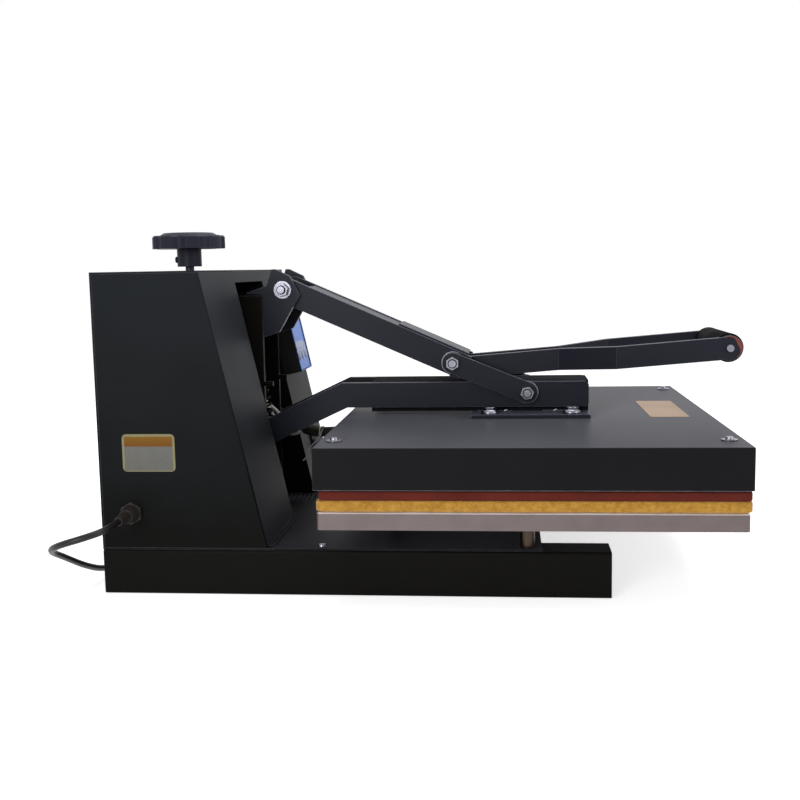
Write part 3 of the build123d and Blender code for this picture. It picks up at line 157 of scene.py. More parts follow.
def between(tree, value, low, high):
    """1 where the value lies between low and high, 0 elsewhere."""
    over = add(tree, "Math", {0: value, 1: low}, operation="GREATER_THAN")
    under = add(tree, "Math", {0: value, 1: high}, operation="LESS_THAN")
    return add(tree, "Math", {0: over.outputs["Value"], 1: under.outputs["Value"]},
               operation="MULTIPLY").outputs["Value"]


def lean(tree, name):
    """One axis of the face's own normal, which is 1 where the face looks straight along it."""
    return axis(tree, add(tree, "NewGeometry").outputs["True Normal"], name)


def repaint(material, factor, code):
    """Blend a material's base colour towards another where factor is above 0."""
    tree = material.node_tree
    shader = tree.nodes["Principled BSDF"]
    drive(tree, shader, Base_Color=mix(tree, factor, shader.inputs["Base Color"].links[0].from_socket, code))


def finish(name, **sockets):
    """A new material with one Principled shader: returns the material, its tree and the shader."""
    material = bpy.data.materials.new(name)
    material.use_nodes = True
    tree = material.node_tree
    shader = tree.nodes["Principled BSDF"]
    for key, value in sockets.items():
        shader.inputs[key.replace("_", " ")].default_value = value
    material.diffuse_color = shader.inputs["Base Color"].default_value
    return material, tree, shader


def object_space(tree, stretch=(1.0, 1.0, 1.0)):
    """The piece's own metres, stretched along its axes where the pattern has a direction."""
    spot = add(tree, "TexCoord").outputs["Object"]
    if stretch == (1.0, 1.0, 1.0):
        return spot
    return add(tree, "Mapping", {"Vector": spot, "Scale": stretch}).outputs["Vector"]


# %% [markdown]
# ## Powder coat
# The sheet steel is powder coated: polyester powder melted in an oven. The eye sees a very dark, slightly
# uneven skin with a fine orange peel, soft highlights, and edges where the coat is thin and catches light.
# A noise of about 1.5 mm makes the peel, a slow one makes the coat's shade drift, and the Bevel node finds
# the edges, where the colour is lifted, partly as wear and partly as a painted highlight, and the highlight
# is rounded as on bent sheet. A height ramp can make a coat paler towards its top, which is painted light
# from above. Dust, which makes flat tops paler at a low angle, is the shader's sheen.

# %% Powder coat
tower_height = 0.33
coat_edge = 0.0009


def powder_coat(name, dark, light, edge, rough, peel_mm, specular, dust, rise=0.0):
    """Dark coat that drifts between two shades, painted paler by rise towards its top as light from above, with
    peel, edges of wear and painted highlight, and dust.
    """
    material, tree, shader = finish(name, Base_Color=colour(dark), Roughness=rough, Specular_IOR_Level=specular,
                                    Sheen_Weight=dust, Sheen_Roughness=0.4, Sheen_Tint=colour("#b4b6c8"))
    spot = object_space(tree)
    drift = add(tree, "TexNoise", {"Vector": spot, "Scale": cells(90.0), "Detail": 4.0, "Roughness": 0.6})
    # Painted light: the climb along z makes the coat paler towards its top, as if lit from above.
    climb = add(tree, "MapRange", {"Value": axis(tree, spot, "Z"), "From Max": tower_height, "To Min": -rise,
                                   "To Max": rise})
    share = add(tree, "Math", {0: drift.outputs["Fac"], 1: climb.outputs["Result"]}, operation="ADD",
                use_clamp=True)
    shade = mix(tree, share.outputs["Value"], dark, light)
    rounded = add(tree, "Bevel", {"Radius": coat_edge}, samples=6)
    flat = add(tree, "NewGeometry")
    facing = add(tree, "VectorMath", {0: rounded.outputs["Normal"], 1: flat.outputs["True Normal"]},
                 operation="DOT_PRODUCT")
    # The edge colour is partly wear and partly a painted highlight along the edges.
    near_edge = add(tree, "MapRange", {"Value": facing.outputs["Value"], "From Min": 0.985, "From Max": 0.86})
    worn = add(tree, "TexNoise", {"Vector": spot, "Scale": cells(14.0), "Detail": 3.0})
    amount = add(tree, "Math", {0: near_edge.outputs["Result"], 1: worn.outputs["Fac"]}, operation="MULTIPLY")
    peel = add(tree, "TexNoise", {"Vector": spot, "Scale": cells(peel_mm), "Detail": 2.0})
    bump = add(tree, "Bump", {"Height": peel.outputs["Fac"], "Strength": 0.16, "Distance": 0.0004,
                              "Normal": rounded.outputs["Normal"]})
    drive(tree, shader, Base_Color=mix(tree, amount.outputs["Value"], shade, edge),
          Normal=bump.outputs["Normal"])
    return material


# The tower is painted paler towards its top, painted light from above, and the base is a warmer black. The
# deck's coat is a little paler and bluer than the base's, painted light from above, with a thin film of dust.
# The arms are bluer, with bright edges that are partly wear and partly painted highlight, and their inner
# tubes quite matt. The cover has most of the dust.
tower_paint = powder_coat("tower_powder_coat", "#0e0e0d", "#1c1f22", "#5c5c63", 0.46, 1.4, 0.04, 0.07, 0.75)
frame_paint = powder_coat("base_powder_coat", "#0f0f0d", "#151412", "#6a6a66", 0.48, 1.4, 0.04, 0.02)
deck_paint = powder_coat("deck_powder_coat", "#111113", "#18181b", "#66666a", 0.50, 1.4, 0.05, 0.10)
arm_paint = powder_coat("arm_powder_coat", "#1b1d25", "#262832", "#9c9aa8", 0.40, 1.6, 0.12, 0.12)
core_paint = powder_coat("core_powder_coat", "#17181c", "#1f2024", "#6c6a74", 0.75, 1.6, 0.02, 0.02)
cover_paint = powder_coat("cover_powder_coat", "#121214", "#19191b", "#b8b8c8", 0.40, 1.2, 0.05, 0.27)
# The cover shades the foot of the tower's leaning front band, so faces that look forward darken downwards.
tree = tower_paint.node_tree
forward_face = add(tree, "Math", {0: lean(tree, "X"), 1: 0.3}, operation="GREATER_THAN")
foot_shade = add(tree, "MapRange", {"Value": axis(tree, object_space(tree), "Z"), "From Min": 0.05,
                                    "From Max": 0.24, "To Min": 0.9, "To Max": 0.0})
shaded = add(tree, "Math", {0: forward_face.outputs["Value"], 1: foot_shade.outputs["Result"]},
             operation="MULTIPLY")
repaint(tower_paint, shaded.outputs["Value"], "#050506")
print("powder coats:", tower_paint.name, frame_paint.name, arm_paint.name, cover_paint.name)

# %% [markdown]
# ## Bare metals
# Bolts and nuts are zinc plated: bright, slightly blue, with a soft bloom. Shafts and posts are turned
# steel, brownish from oil, and the knob's spindle is darker. The platens are cast aluminium with a milled
# face, grey with fine straight tool lines. All of them are full metals, so their colour is their
# reflection's tint. Noise that is stretched along one axis draws tool lines, a slow noise breaks up the
# gloss, and ambient occlusion darkens the corners with painted shade.

# %% Bare metals
def bare_metal(name, dark, light, rough, lines_mm, stretch, depth, patch_mm=22.0):
    """Metal that drifts between two tints in patches, with tool lines along one axis and painted shade in its
    corners.
    """
    material, tree, shader = finish(name, Base_Color=colour(light), Metallic=1.0, Roughness=rough)
    slow = add(tree, "TexNoise", {"Vector": object_space(tree), "Scale": cells(patch_mm), "Detail": 4.0})
    tint = mix(tree, slow.outputs["Fac"], dark, light)
    gloss = add(tree, "MapRange", {"Value": slow.outputs["Fac"], "To Min": rough - 0.08,
                                   "To Max": rough + 0.12})
    # Painted shade: ambient occlusion darkens the tint to a near black in corners and creases.
    corner = add(tree, "AmbientOcclusion", {"Distance": 0.003}, samples=6)
    painted_corner_shade = add(tree, "MapRange", {"Value": corner.outputs["AO"], "From Min": 0.30, "From Max": 0.75,
                                  "To Min": 0.30, "To Max": 1.0})
    tint = mix(tree, painted_corner_shade.outputs["Result"], "#17161a", tint)
    lines = add(tree, "TexNoise", {"Vector": object_space(tree, stretch), "Scale": cells(lines_mm),
                                   "Detail": 3.0})
    rounded = add(tree, "Bevel", {"Radius": 0.0004}, samples=4)
    bump = add(tree, "Bump", {"Height": lines.outputs["Fac"], "Strength": depth, "Distance": 0.0002,
                              "Normal": rounded.outputs["Normal"]})
    drive(tree, shader, Base_Color=tint, Roughness=gloss.outputs["Result"], Normal=bump.outputs["Normal"])
    return material


zinc = bare_metal("zinc_plated_steel", "#4c4c55", "#a6a6b2", 0.22, 1.5, (1.0, 1.0, 1.0), 0.06, 7.0)
turned_steel = bare_metal("turned_steel", "#3c342b", "#4c4238", 0.36, 0.8, (1.0, 1.0, 0.1), 0.25)
oiled_steel = bare_metal("oiled_dark_steel", "#26262a", "#3a3a40", 0.38, 0.8, (1.0, 1.0, 0.1), 0.20)
brass = bare_metal("machined_brass", "#a98a4a", "#c9a860", 0.30, 0.8, (1.0, 1.0, 0.1), 0.20)
platen_metal = bare_metal("milled_cast_aluminium", "#5c5254", "#706665", 0.44, 1.2, (0.05, 1.0, 1.0), 0.30)
heater_metal = bare_metal("heat_darkened_aluminium", "#3b3230", "#4e4442", 0.50, 3.0, (1.0, 1.0, 1.0), 0.35)
# The lower platen's top edge is a milled chamfer, painted bright where its normal leans, 0.5 < z < 0.9: a
# painted highlight.
tree = platen_metal.node_tree
repaint(platen_metal, between(tree, lean(tree, "Z"), 0.5, 0.9), "#cfcacc")
print("metals:", zinc.name, turned_steel.name, brass.name, platen_metal.name, heater_metal.name)

# %% [markdown]
# ## Moulded plastics, rubber and film
# The knob is phenolic with a low gloss, the grip is dull black with a maroon lip at each end, the control box
# is textured black plastic behind a blue printed film. The wires are white, the cord and the gland near
# black. A moulding has no tool marks, only a fine even grain and a slightly uneven gloss, so one function
# serves them all with its own grain size. The phosphated spring wire is as dull, so it is made here too.

# %% Plastics
def moulded(name, dark, light, rough, grain_mm, depth, specular=0.5):
    """Plastic or rubber that drifts between two shades, with an even grain."""
    material, tree, shader = finish(name, Base_Color=colour(light), Roughness=rough,
                                    Specular_IOR_Level=specular)
    spot = object_space(tree)
    slow = add(tree, "TexNoise", {"Vector": spot, "Scale": cells(18.0), "Detail": 3.0})
    gloss = add(tree, "MapRange", {"Value": slow.outputs["Fac"], "To Min": rough - 0.07,
                                   "To Max": rough + 0.10})
    grain = add(tree, "TexNoise", {"Vector": spot, "Scale": cells(grain_mm), "Detail": 2.0})
    rounded = add(tree, "Bevel", {"Radius": 0.0005}, samples=4)
    bump = add(tree, "Bump", {"Height": grain.outputs["Fac"], "Strength": depth, "Distance": 0.0002,
                              "Normal": rounded.outputs["Normal"]})
    drive(tree, shader, Base_Color=mix(tree, slow.outputs["Fac"], dark, light),
          Roughness=gloss.outputs["Result"], Normal=bump.outputs["Normal"])
    return material


spring_steel = moulded("phosphated_spring_wire", "#101011", "#1a1a1b", 0.60, 0.6, 0.10, 0.10)
phenolic = moulded("black_phenolic", "#24242f", "#30303e", 0.40, 0.8, 0.10, 0.10)
grip_rubber = moulded("grip_rubber", "#0b0b0c", "#121214", 0.75, 0.6, 0.20, 0.03)
ring_plastic = moulded("red_brown_ring", "#5a211c", "#78322b", 0.35, 0.8, 0.08)
box_plastic = moulded("textured_black_box", "#0b0b0c", "#111113", 0.55, 0.9, 0.30, 0.25)
key_plastic = moulded("pale_key", "#8f97ab", "#a6adbf", 0.45, 0.6, 0.08, 0.30)
board_resin = moulded("green_solder_mask", "#174a2a", "#22663a", 0.30, 1.4, 0.10)
switch_plastic = moulded("black_switch", "#0e0e0f", "#161617", 0.65, 0.8, 0.08, 0.08)
rocker_plastic = moulded("black_rocker", "#101011", "#1a1a1b", 0.62, 0.8, 0.05, 0.10)
relay_plastic = moulded("grey_relay_case", "#2b2b2e", "#3a3a3d", 0.45, 0.8, 0.15)
terminal_plastic = moulded("cream_terminal_strip", "#c3bfae", "#dbd7c8", 0.45, 0.8, 0.10)
gland_nylon = moulded("dark_nylon_gland", "#1a1716", "#332d2a", 0.40, 0.7, 0.20, 0.25)
cord_rubber = moulded("black_cord_sheath", "#0f0e0f", "#181717", 0.34, 0.5, 0.12, 0.30)
wire_white = moulded("white_wire_sleeve", "#e4dfda", "#f6f2ee", 0.45, 0.6, 0.10)
tie_nylon = moulded("pale_nylon_tie", "#e0dfd6", "#f0efe8", 0.40, 0.6, 0.08)
tan_film = moulded("tan_label_film", "#927861", "#a68c77", 0.50, 0.9, 0.06, 0.35)
# A flat dark ring that stands for the painted shade in a nut's thread mouth.
mouth_shadow = moulded("thread_mouth_painted_shade", "#1a1a20", "#26262d", 0.5, 0.8, 0.05, 0.2)
bezel_plastic = moulded("dark_blue_bezel", "#24406f", "#31508a", 0.45, 0.8, 0.08, 0.15)
window_film = moulded("pale_display_window", "#8e99bc", "#a3adc8", 0.35, 1.0, 0.03, 0.30)
print("plastics made")

# %% [markdown]
# ## The blue film and the plate on the near wall
# The control panel is a printed film in bands of blue with a grey band across the keys and one at its top. A
# ramp along its height does that, with a slow noise so that the print isn't quite even. The plate on the
# near wall is plain: a grey ground with an amber band and a pale rim, and nothing written on it.

# %% Printed faces
def height_ramp(tree, low_z, high_z, stops):
    """Colour ramp along Z, from low_z to high_z in metres."""
    share = add(tree, "MapRange", {"Value": axis(tree, object_space(tree), "Z"), "From Min": low_z,
                                   "From Max": high_z})
    band = add(tree, "ValToRGB", {"Fac": share.outputs["Result"]})
    while len(band.color_ramp.elements) < len(stops):
        band.color_ramp.elements.new(0.5)
    for element, (position, code) in zip(band.color_ramp.elements, stops):
        element.position = position
        element.color = colour(code)
    return band.outputs["Color"]


def uneven(tree, ground, size_mm, detail, amount):
    """The ground with a soft coloured noise over it."""
    cloudy = add(tree, "TexNoise", {"Vector": object_space(tree), "Scale": cells(size_mm), "Detail": detail})
    return mix(tree, amount, ground, cloudy.outputs["Color"], blend_type="SOFT_LIGHT")


panel_low, panel_high = (corner[2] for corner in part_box("control_panel"))
blue_film, tree, shader = finish("blue_printed_film", Base_Color=colour("#6d80b0"), Roughness=0.42,
                                  Specular_IOR_Level=0.22)
ground = height_ramp(tree, panel_low, panel_high,
                     [(0.0, "#668bd6"), (0.19, "#6a8ed6"), (0.20, "#9aa4ca"), (0.32, "#979ec2"),
                      (0.33, "#6086d2"), (0.45, "#678bd5"), (0.62, "#6b8fd8"), (0.66, "#6b97e0"),
                      (0.86, "#729ae0"), (0.92, "#abb3cd")])
drive(tree, shader, Base_Color=uneven(tree, ground, 25.0, 3.0, 0.12))

plate_u, plate_z, plate_length, plate_height, plate_rim = 52.0, 145.0, 54.0, 38.0, "#85815f"
cream_plate, tree, shader = finish("cream_enamel_plate", Base_Color=colour("#75746c"), Roughness=0.45,
                                    Specular_IOR_Level=0.15)
ground = height_ramp(tree, (plate_z - plate_height / 2) / 1000, (plate_z + plate_height / 2) / 1000,
                     [(0.0, plate_rim), (0.045, "#656560"), (0.66, "#696964"), (0.68, "#70440b"),
                      (0.92, "#7a5612"), (0.945, plate_rim)])
plate_middle, plate_end = place(plate_u, 0, 0)[0], plate_length / 2000
from_middle = add(tree, "Math", {0: axis(tree, object_space(tree), "X"), 1: -plate_middle}, operation="ADD")
distance = add(tree, "Math", {0: from_middle.outputs["Value"]}, operation="ABSOLUTE")
on_rim = add(tree, "MapRange", {"Value": distance.outputs["Value"], "From Min": plate_end - 0.0028,
                                "From Max": plate_end - 0.0016})
ground = mix(tree, on_rim.outputs["Result"], ground, plate_rim)
drive(tree, shader, Base_Color=uneven(tree, ground, 6.0, 4.0, 0.18))
print("film from z", round(panel_low, 4), "to", round(panel_high, 4))

# %% [markdown]
# ## Silicone, felt, blanket and sleeve
# The pad under the heated plate is silicone sponge: matt, red-brown, with tiny pores. The pad below is
# needle felt, ochre, a mass of fibres that take no gloss but a soft sheen. Inside the cover lies ceramic
# fibre. Pores are a Voronoi pattern of 1 mm, drawn coarser than the real 0.3 mm so that they show. Felt is
# noise stretched along the sheet, because needling lays the fibres flat.

# %% Soft materials
silicone, tree, shader = finish("silicone_sponge", Base_Color=colour("#5c2219"), Roughness=0.72,
                                Specular_IOR_Level=0.12)
spot = object_space(tree)
pores = add(tree, "TexVoronoi", {"Vector": spot, "Scale": cells(1.0)})
slow = add(tree, "TexNoise", {"Vector": spot, "Scale": cells(30.0), "Detail": 5.0})
bump = add(tree, "Bump", {"Height": pores.outputs["Distance"], "Strength": 0.35, "Distance": 0.0004})
drive(tree, shader, Base_Color=mix(tree, slow.outputs["Fac"], "#471710", "#6a281e"),
      Normal=bump.outputs["Normal"])


def fibre(name, dark, light, length_mm, stretch, sheen, depth):
    """Fibre mat: two shades mixed by stretched noise, rough, with a sheen."""
    material, tree, shader = finish(name, Base_Color=colour(light), Roughness=0.92, Specular_IOR_Level=0.15,
                                    Sheen_Weight=sheen, Sheen_Roughness=0.5)
    strands = add(tree, "TexNoise", {"Vector": object_space(tree, stretch), "Scale": cells(length_mm),
                                     "Detail": 6.0, "Roughness": 0.7})
    clumps = add(tree, "TexNoise", {"Vector": object_space(tree), "Scale": cells(4.5), "Detail": 4.0})
    both = add(tree, "Math", {0: strands.outputs["Fac"], 1: clumps.outputs["Fac"]}, operation="ADD")
    share = add(tree, "MapRange", {"Value": both.outputs["Value"], "From Min": 0.68, "From Max": 1.32})
    bump = add(tree, "Bump", {"Height": both.outputs["Value"], "Strength": depth, "Distance": 0.0008})
    drive(tree, shader, Base_Color=mix(tree, share.outputs["Result"], dark, light),
          Normal=bump.outputs["Normal"])
    return material


felt = fibre("ochre_needle_felt", "#9a6c22", "#cb9a42", 1.1, (0.5, 0.5, 1.0), 0.30, 0.8)
blanket_wool = fibre("ceramic_fibre", "#cfccc2", "#efede6", 3.0, (0.4, 0.4, 1.0), 0.2, 0.6)
sleeve_braid = fibre("dark_woven_sleeve", "#25241d", "#4a4940", 1.6, (1.0, 1.0, 1.0), 0.1, 0.8)
print("soft materials:", silicone.name, felt.name, blanket_wool.name, sleeve_braid.name)

# %% [markdown]
# ## Finishes on the metal pieces
# The record names a material slot for every piece of the model. One table from slot to finish covers them
# all, a short one names the four pieces that differ from their slot, and each object's material slots then
# take that finish.

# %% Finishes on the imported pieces
slot_finish = {
    "frame_paint": frame_paint, "tower_paint": tower_paint, "arm_paint": arm_paint, "cover_paint": cover_paint,
    "zinc": zinc, "bare_steel": turned_steel, "spring_steel": spring_steel, "brass": brass,
    "platen_aluminium": platen_metal, "heater_aluminium": heater_metal, "silicone": silicone, "felt": felt,
    "blanket": blanket_wool, "knob_plastic": phenolic, "grip_rubber": grip_rubber, "ring_plastic": ring_plastic,
    "box_plastic": box_plastic, "panel_film": blue_film, "button_plastic": key_plastic, "board": board_resin,
    "switch_plastic": switch_plastic, "rocker_plastic": rocker_plastic, "relay_plastic": relay_plastic,
    "terminal_plastic": terminal_plastic, "cord_sheath": cord_rubber, "gland_nylon": gland_nylon,
    "harness_sleeve": sleeve_braid,
}
node_finish = {"deck_plate": deck_paint, "lower_arm_core": core_paint, "adjuster_spindle": oiled_steel,
               "grip_rings": grip_rubber}
for part in frame["record"]["subparts"]:
    packed = nodes[part["node"]]
    if not packed.material_slots:
        packed.data.materials.append(None)
    for slot in packed.material_slots:
        slot.material = node_finish.get(part["node"], slot_finish[part["material_slot"]])

# %% [markdown]
# ## The mains lead
# A mains lead of 6.5 mm leaves the gland on the near wall, drops round the tower's rear corner to the table,
# runs along behind the tower and lies in a flat coil of two layers, with its plug beside it. A lead is one
# smooth line, so it is a NURBS curve: a route of listed points, then the coil's turns by a loop, inwards in
# the lower layer and outwards in the upper one. The curve's bevel gives it thickness.

# %% Mains lead
lead_radius = 3.25
coil_u, coil_y, coil_turns, coil_pitch, coil_core, coil_low = -66.0, 126.0, 3, 7.1, 25.1, 3.3
lead_route = [
    (32, -241.5, 84), (32, -268.4, 83), (14.6, -286, 79), (-10, -286, 72), (-27.4, -268.4, 62),
    (-27.4, -234, 47), (-24, -196, 28), (-21, -155, 12), (-19, -110, 3.9), (-20.5, -58, 3.3), (-22.5, -2, 3.3),
    (-19.6, 60, 3.3), (-19.6, 119.5, 3.3),
]
turn_points = 16
for step in range(turn_points * 2 * coil_turns + 1):
    turn = step / turn_points - coil_turns
    angle = 2 * math.pi * (turn + coil_turns)
    reach = coil_core + coil_pitch * abs(turn)
    climb = min(max((turn + 0.25) / 0.5, 0.0), 1.0)
    height = coil_low + coil_pitch * (3 * climb ** 2 - 2 * climb ** 3)
    lead_route.append((coil_u + reach * math.cos(angle), coil_y + reach * math.sin(angle), height))
lead_route += [(-19.6, 138, 10.4), (-19.6, 154, 10.4)]


def smooth_curve(name, route, radius_mm):
    """Open NURBS curve of order 3 with the route's places as its control points."""
    data = bpy.data.curves.new(name, "CURVE")
    data.dimensions = "3D"
    data.resolution_u = 6
    data.bevel_depth = radius_mm / 1000
    data.bevel_resolution = 3
    data.use_fill_caps = True
    line = data.splines.new("NURBS")
    line.points.add(len(route) - 1)
    line.points.foreach_set("co", [value for spot in route for value in (*place(*spot), 1.0)])
    line.order_u = 3
    line.use_endpoint_u = True
    curve = bpy.data.objects.new(name, data)
    bpy.context.scene.collection.objects.link(curve)
    return curve


power_lead = smooth_curve("power_lead", lead_route, lead_radius)
power_lead.data.materials.append(cord_rubber)
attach(power_lead, "base_unit")
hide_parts("power_cord", "cord_coil")
print("lead points", len(lead_route))

# %% [markdown]
# ## Surfaces as grids
# The other new pieces are grids of points: first parameter along the piece, second one round it. A helper
# turns such an array into quads, closes it where asked and caps its ends, and lets Blender turn
# all faces outwards.

# %% Grid to mesh
x_way, y_way, z_way = np.eye(3)
# The near and the far side: the number in a piece's name and the sign of its y.
both_sides = ((1, -1), (2, 1))


def shell(name, points, material, body, close_first=False, close_second=True, capped=True):
    """points[i, j] is the place, in metres, at the i-th step along the piece and the j-th step round it."""
    rows, columns = points.shape[:2]
    index = np.arange(rows * columns).reshape(rows, columns)
    ends = [index[0].tolist(), index[-1].tolist()] if capped else []
    if close_first:
        index = np.vstack([index, index[:1]])
    if close_second:
        index = np.hstack([index, index[:, :1]])
    quads = np.stack([index[:-1, :-1], index[1:, :-1], index[1:, 1:], index[:-1, 1:]], axis=-1).reshape(-1, 4)
    mesh = bpy.data.meshes.new(name)
    mesh.from_pydata(points.reshape(-1, 3).tolist(), [], quads.tolist() + ends)
    work = bmesh.new()
    work.from_mesh(mesh)
    bmesh.ops.remove_doubles(work, verts=work.verts, dist=1e-7)
    bmesh.ops.recalc_face_normals(work, faces=work.faces)
    work.to_mesh(mesh)
    work.free()
    mesh.shade_smooth()
    mesh.set_sharp_from_angle(angle=math.radians(40))
    mesh.materials.append(material)
    piece = bpy.data.objects.new(name, mesh)
    bpy.context.scene.collection.objects.link(piece)
    if body:
        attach(piece, body)
    return piece


def rounded_outline(half_x, half_y, corner, steps=8):
    """Rounded rectangle: four quarter circles of radius corner about their own centres, counterclockwise."""
    turn = np.linspace(0, np.pi / 2, steps)
    quarter = np.stack([np.cos(turn), np.sin(turn)], axis=1)
    corners = []
    for sign_x, sign_y, start in ((1, 1, 0), (-1, 1, 1), (-1, -1, 2), (1, -1, 3)):
        spin = np.array([[0, 1], [-1, 0]]) if start % 2 else np.eye(2)
        sweep = quarter @ spin * (1 if start < 2 else -1)
        corners.append(np.array([sign_x * (half_x - corner), sign_y * (half_y - corner)]) + corner * sweep)
    return np.concatenate(corners)


def dense_outline(half_x, half_y, corner, spacing):
    """The rounded rectangle with extra points on its sides, about spacing apart."""
    outline = rounded_outline(half_x, half_y, corner)
    ahead = np.roll(outline, -1, axis=0)
    counts = np.maximum(1, np.round(np.linalg.norm(ahead - outline, axis=1) / spacing).astype(int))
    return np.concatenate([a + (b - a) * np.linspace(0, 1, n, endpoint=False)[:, None]
                           for a, b, n in zip(outline, ahead, counts)])


print("helpers ready")

# %% [markdown]
# ## The two pads
# Silicone and felt are cut sheets. A cut edge is never ruler straight: it waves by a few tenths of a
# millimetre and its corners are a little soft. Each pad is a stack of outlines from its bottom edge to its
# top edge, each pulled in where the edge rounds, with slow waves on the cut.

# %% Pads
def pad(name, node, material, corner, soft, wave, seed):
    """Outline (s) by edge profile (v): inset soft * (1 - sin v) at height soft * (1 - cos v) from each face."""
    low, high = box_mm(node)
    half, middle = (high - low)[:2] / 2, (high + low)[:2] / 2
    outline = dense_outline(half[0], half[1], corner, 6.0)
    angles = np.linspace(0, np.pi / 2, 5)
    inset = soft * (1 - np.sin(angles))
    rise = soft * (1 - np.cos(angles))
    insets = np.concatenate([inset, [0.0, 0.0], inset[::-1]])
    middle_heights = low[2] + (high[2] - low[2]) * np.array([0.35, 0.65])
    heights = np.concatenate([low[2] + rise, middle_heights, high[2] - rise[::-1]])
    along = np.concatenate([[0], np.cumsum(np.linalg.norm(np.diff(outline, axis=0), axis=1))])
    phases = np.random.default_rng(seed).uniform(0, 2 * np.pi, 6)
    lengths = np.array([170.0, 83.0, 41.0, 23.0, 14.0, 9.0])
    strength = np.array([0.9, 0.7, 0.6, 0.5, 0.4, 0.3])
    waves = (np.sin(2 * np.pi * along[:, None] / lengths + phases) * strength).sum(1)
    waves = wave * (waves - waves.max()) / np.ptp(waves)
    outward = outline / np.linalg.norm(outline, axis=1)[:, None]
    flat = outline[None] * (1 - insets[:, None, None] / half.min()) + outward[None] * waves[None, :, None]
    points = np.dstack([flat + middle, np.broadcast_to(heights[:, None], flat.shape[:2])]) / 1000
    return shell(name, points, material, None)


silicone_sheet = pad("silicone_sheet", "silicone_pad", silicone, 4.0, 1.6, 0.8, 3)
felt_sheet = pad("felt_sheet", "felt_pad", felt, 6.0, 2.2, 1.0, 5)
blanket_sheet = pad("blanket_sheet", "insulation_blanket", blanket_wool, 8.0, 2.5, 1.0, 8)
for sheet_piece, node, body in ((silicone_sheet, "silicone_pad", "base_unit"),
                                (felt_sheet, "felt_pad", "base_unit"),
                                (blanket_sheet, "insulation_blanket", "lower_arm")):
    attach(sheet_piece, body)
    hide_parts(node)
print("pads:", len(silicone_sheet.data.vertices), len(felt_sheet.data.vertices))

# %% [markdown]
# ## Tube along a path
# A wire is a circle carried along a path. At each place on the path the circle stands square to it, and its
# starting direction is turned as little as possible from place to place, so that the tube doesn't twist.

# %% Tube along a path
def tube(name, path, radius, material, body, sides=10):
    """path[i] + radius * (cos a * n[i] + sin a * b[i]); radius may change along the path."""
    path = np.asarray(path, float)
    tangents = np.gradient(path, axis=0)
    tangents /= np.linalg.norm(tangents, axis=1)[:, None]
    normal = np.cross(tangents[0], [0.31, 0.17, 0.94])
    normals = []
    for tangent in tangents:
        normal = normal - tangent * normal.dot(tangent)
        normal = normal / np.linalg.norm(normal)
        normals.append(normal)
    normals = np.array(normals)
    sideways = np.cross(tangents, normals)
    angles = np.linspace(0, 2 * np.pi, sides, endpoint=False)
    radius = np.broadcast_to(radius, len(path))[:, None, None]
    ring = normals[:, None] * np.cos(angles)[None, :, None] + sideways[:, None] * np.sin(angles)[None, :, None]
    return shell(name, (path[:, None] + radius * ring) / 1000, material, body)


# %% [markdown]
# ## Return spring
# The return spring is a wire along a hook, nine turns and a second hook. Each hook is half a circle over its
# pin. The spring stretches between the mast and the lower arm.

# %% Return spring
wire, coil_r, turns = 1.4, 8.5, 9
pin_radius, hook_gap = 4.0, 0.3
anchor, foot = in_frame([(112.0, 0.0, 236.0), (130.0, 0.0, 137.5)])
down = (foot - anchor) / np.linalg.norm(foot - anchor)
front = np.cross(down, y_way)
hook_r = pin_radius + wire + hook_gap
leg, rise = 6.0, 8.0


def half_loop(pin, away):
    """Half circle over a pin, from its open side to the leg: pin + hook_r * (-cos a * front - sin a * away)."""
    a = np.linspace(0, np.pi, 13)[:, None]
    return pin + hook_r * (-np.cos(a) * front - np.sin(a) * away)


t = np.linspace(0, turns, turns * 20 + 1)[:, None]
start, stop = anchor + down * (leg + rise), foot - down * (leg + rise)
around = 2 * np.pi * t
helix = start + (stop - start) * t / turns + coil_r * (front * np.cos(around) - y_way * np.sin(around))
top = half_loop(anchor, down)
bottom = half_loop(foot, -down)[::-1]
spring_path = np.concatenate([top[:1] + down * 2 * wire, top, helix, bottom, bottom[-1:] - down * 2 * wire])
return_coil = tube("return_coil", spring_path, wire, spring_steel, None, 8)
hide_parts("return_spring")
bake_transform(return_coil)
print("spring wire", len(spring_path), "places")

# %% [markdown]
# ## Wiring between tower and cover
# Three heat-proof white wires come out of the mast, dip under the arm and run into a dark woven sleeve
# that ends at the back of the cover. A pale cable tie holds the sleeve, and its tail hangs down behind the
# cover. The sleeve follows the route of the model's harness, whose places are read back from a NURBS curve.
# It is thin inside the mast, swells at its mouth and narrows under the tie.

# %% Wiring
harness_route = [(116, 79, 172), (116, 56, 172), (127, 51.5, 160), (142, 50.5, 145), (161, 44.5, 133),
                 (185, 38, 128.5), (207, 33, 130), (227, 33, 130)]


def smooth_places(route):
    """Places along the NURBS curve of a route, in the frame's millimetres."""
    guide = smooth_curve("guide", route, 0.0)
    mesh = bpy.data.meshes.new_from_object(guide)
    places = np.zeros(len(mesh.vertices) * 3)
    mesh.vertices.foreach_get("co", places)
    bpy.data.objects.remove(guide)
    bpy.data.meshes.remove(mesh)
    return places.reshape(-1, 3) * 1000


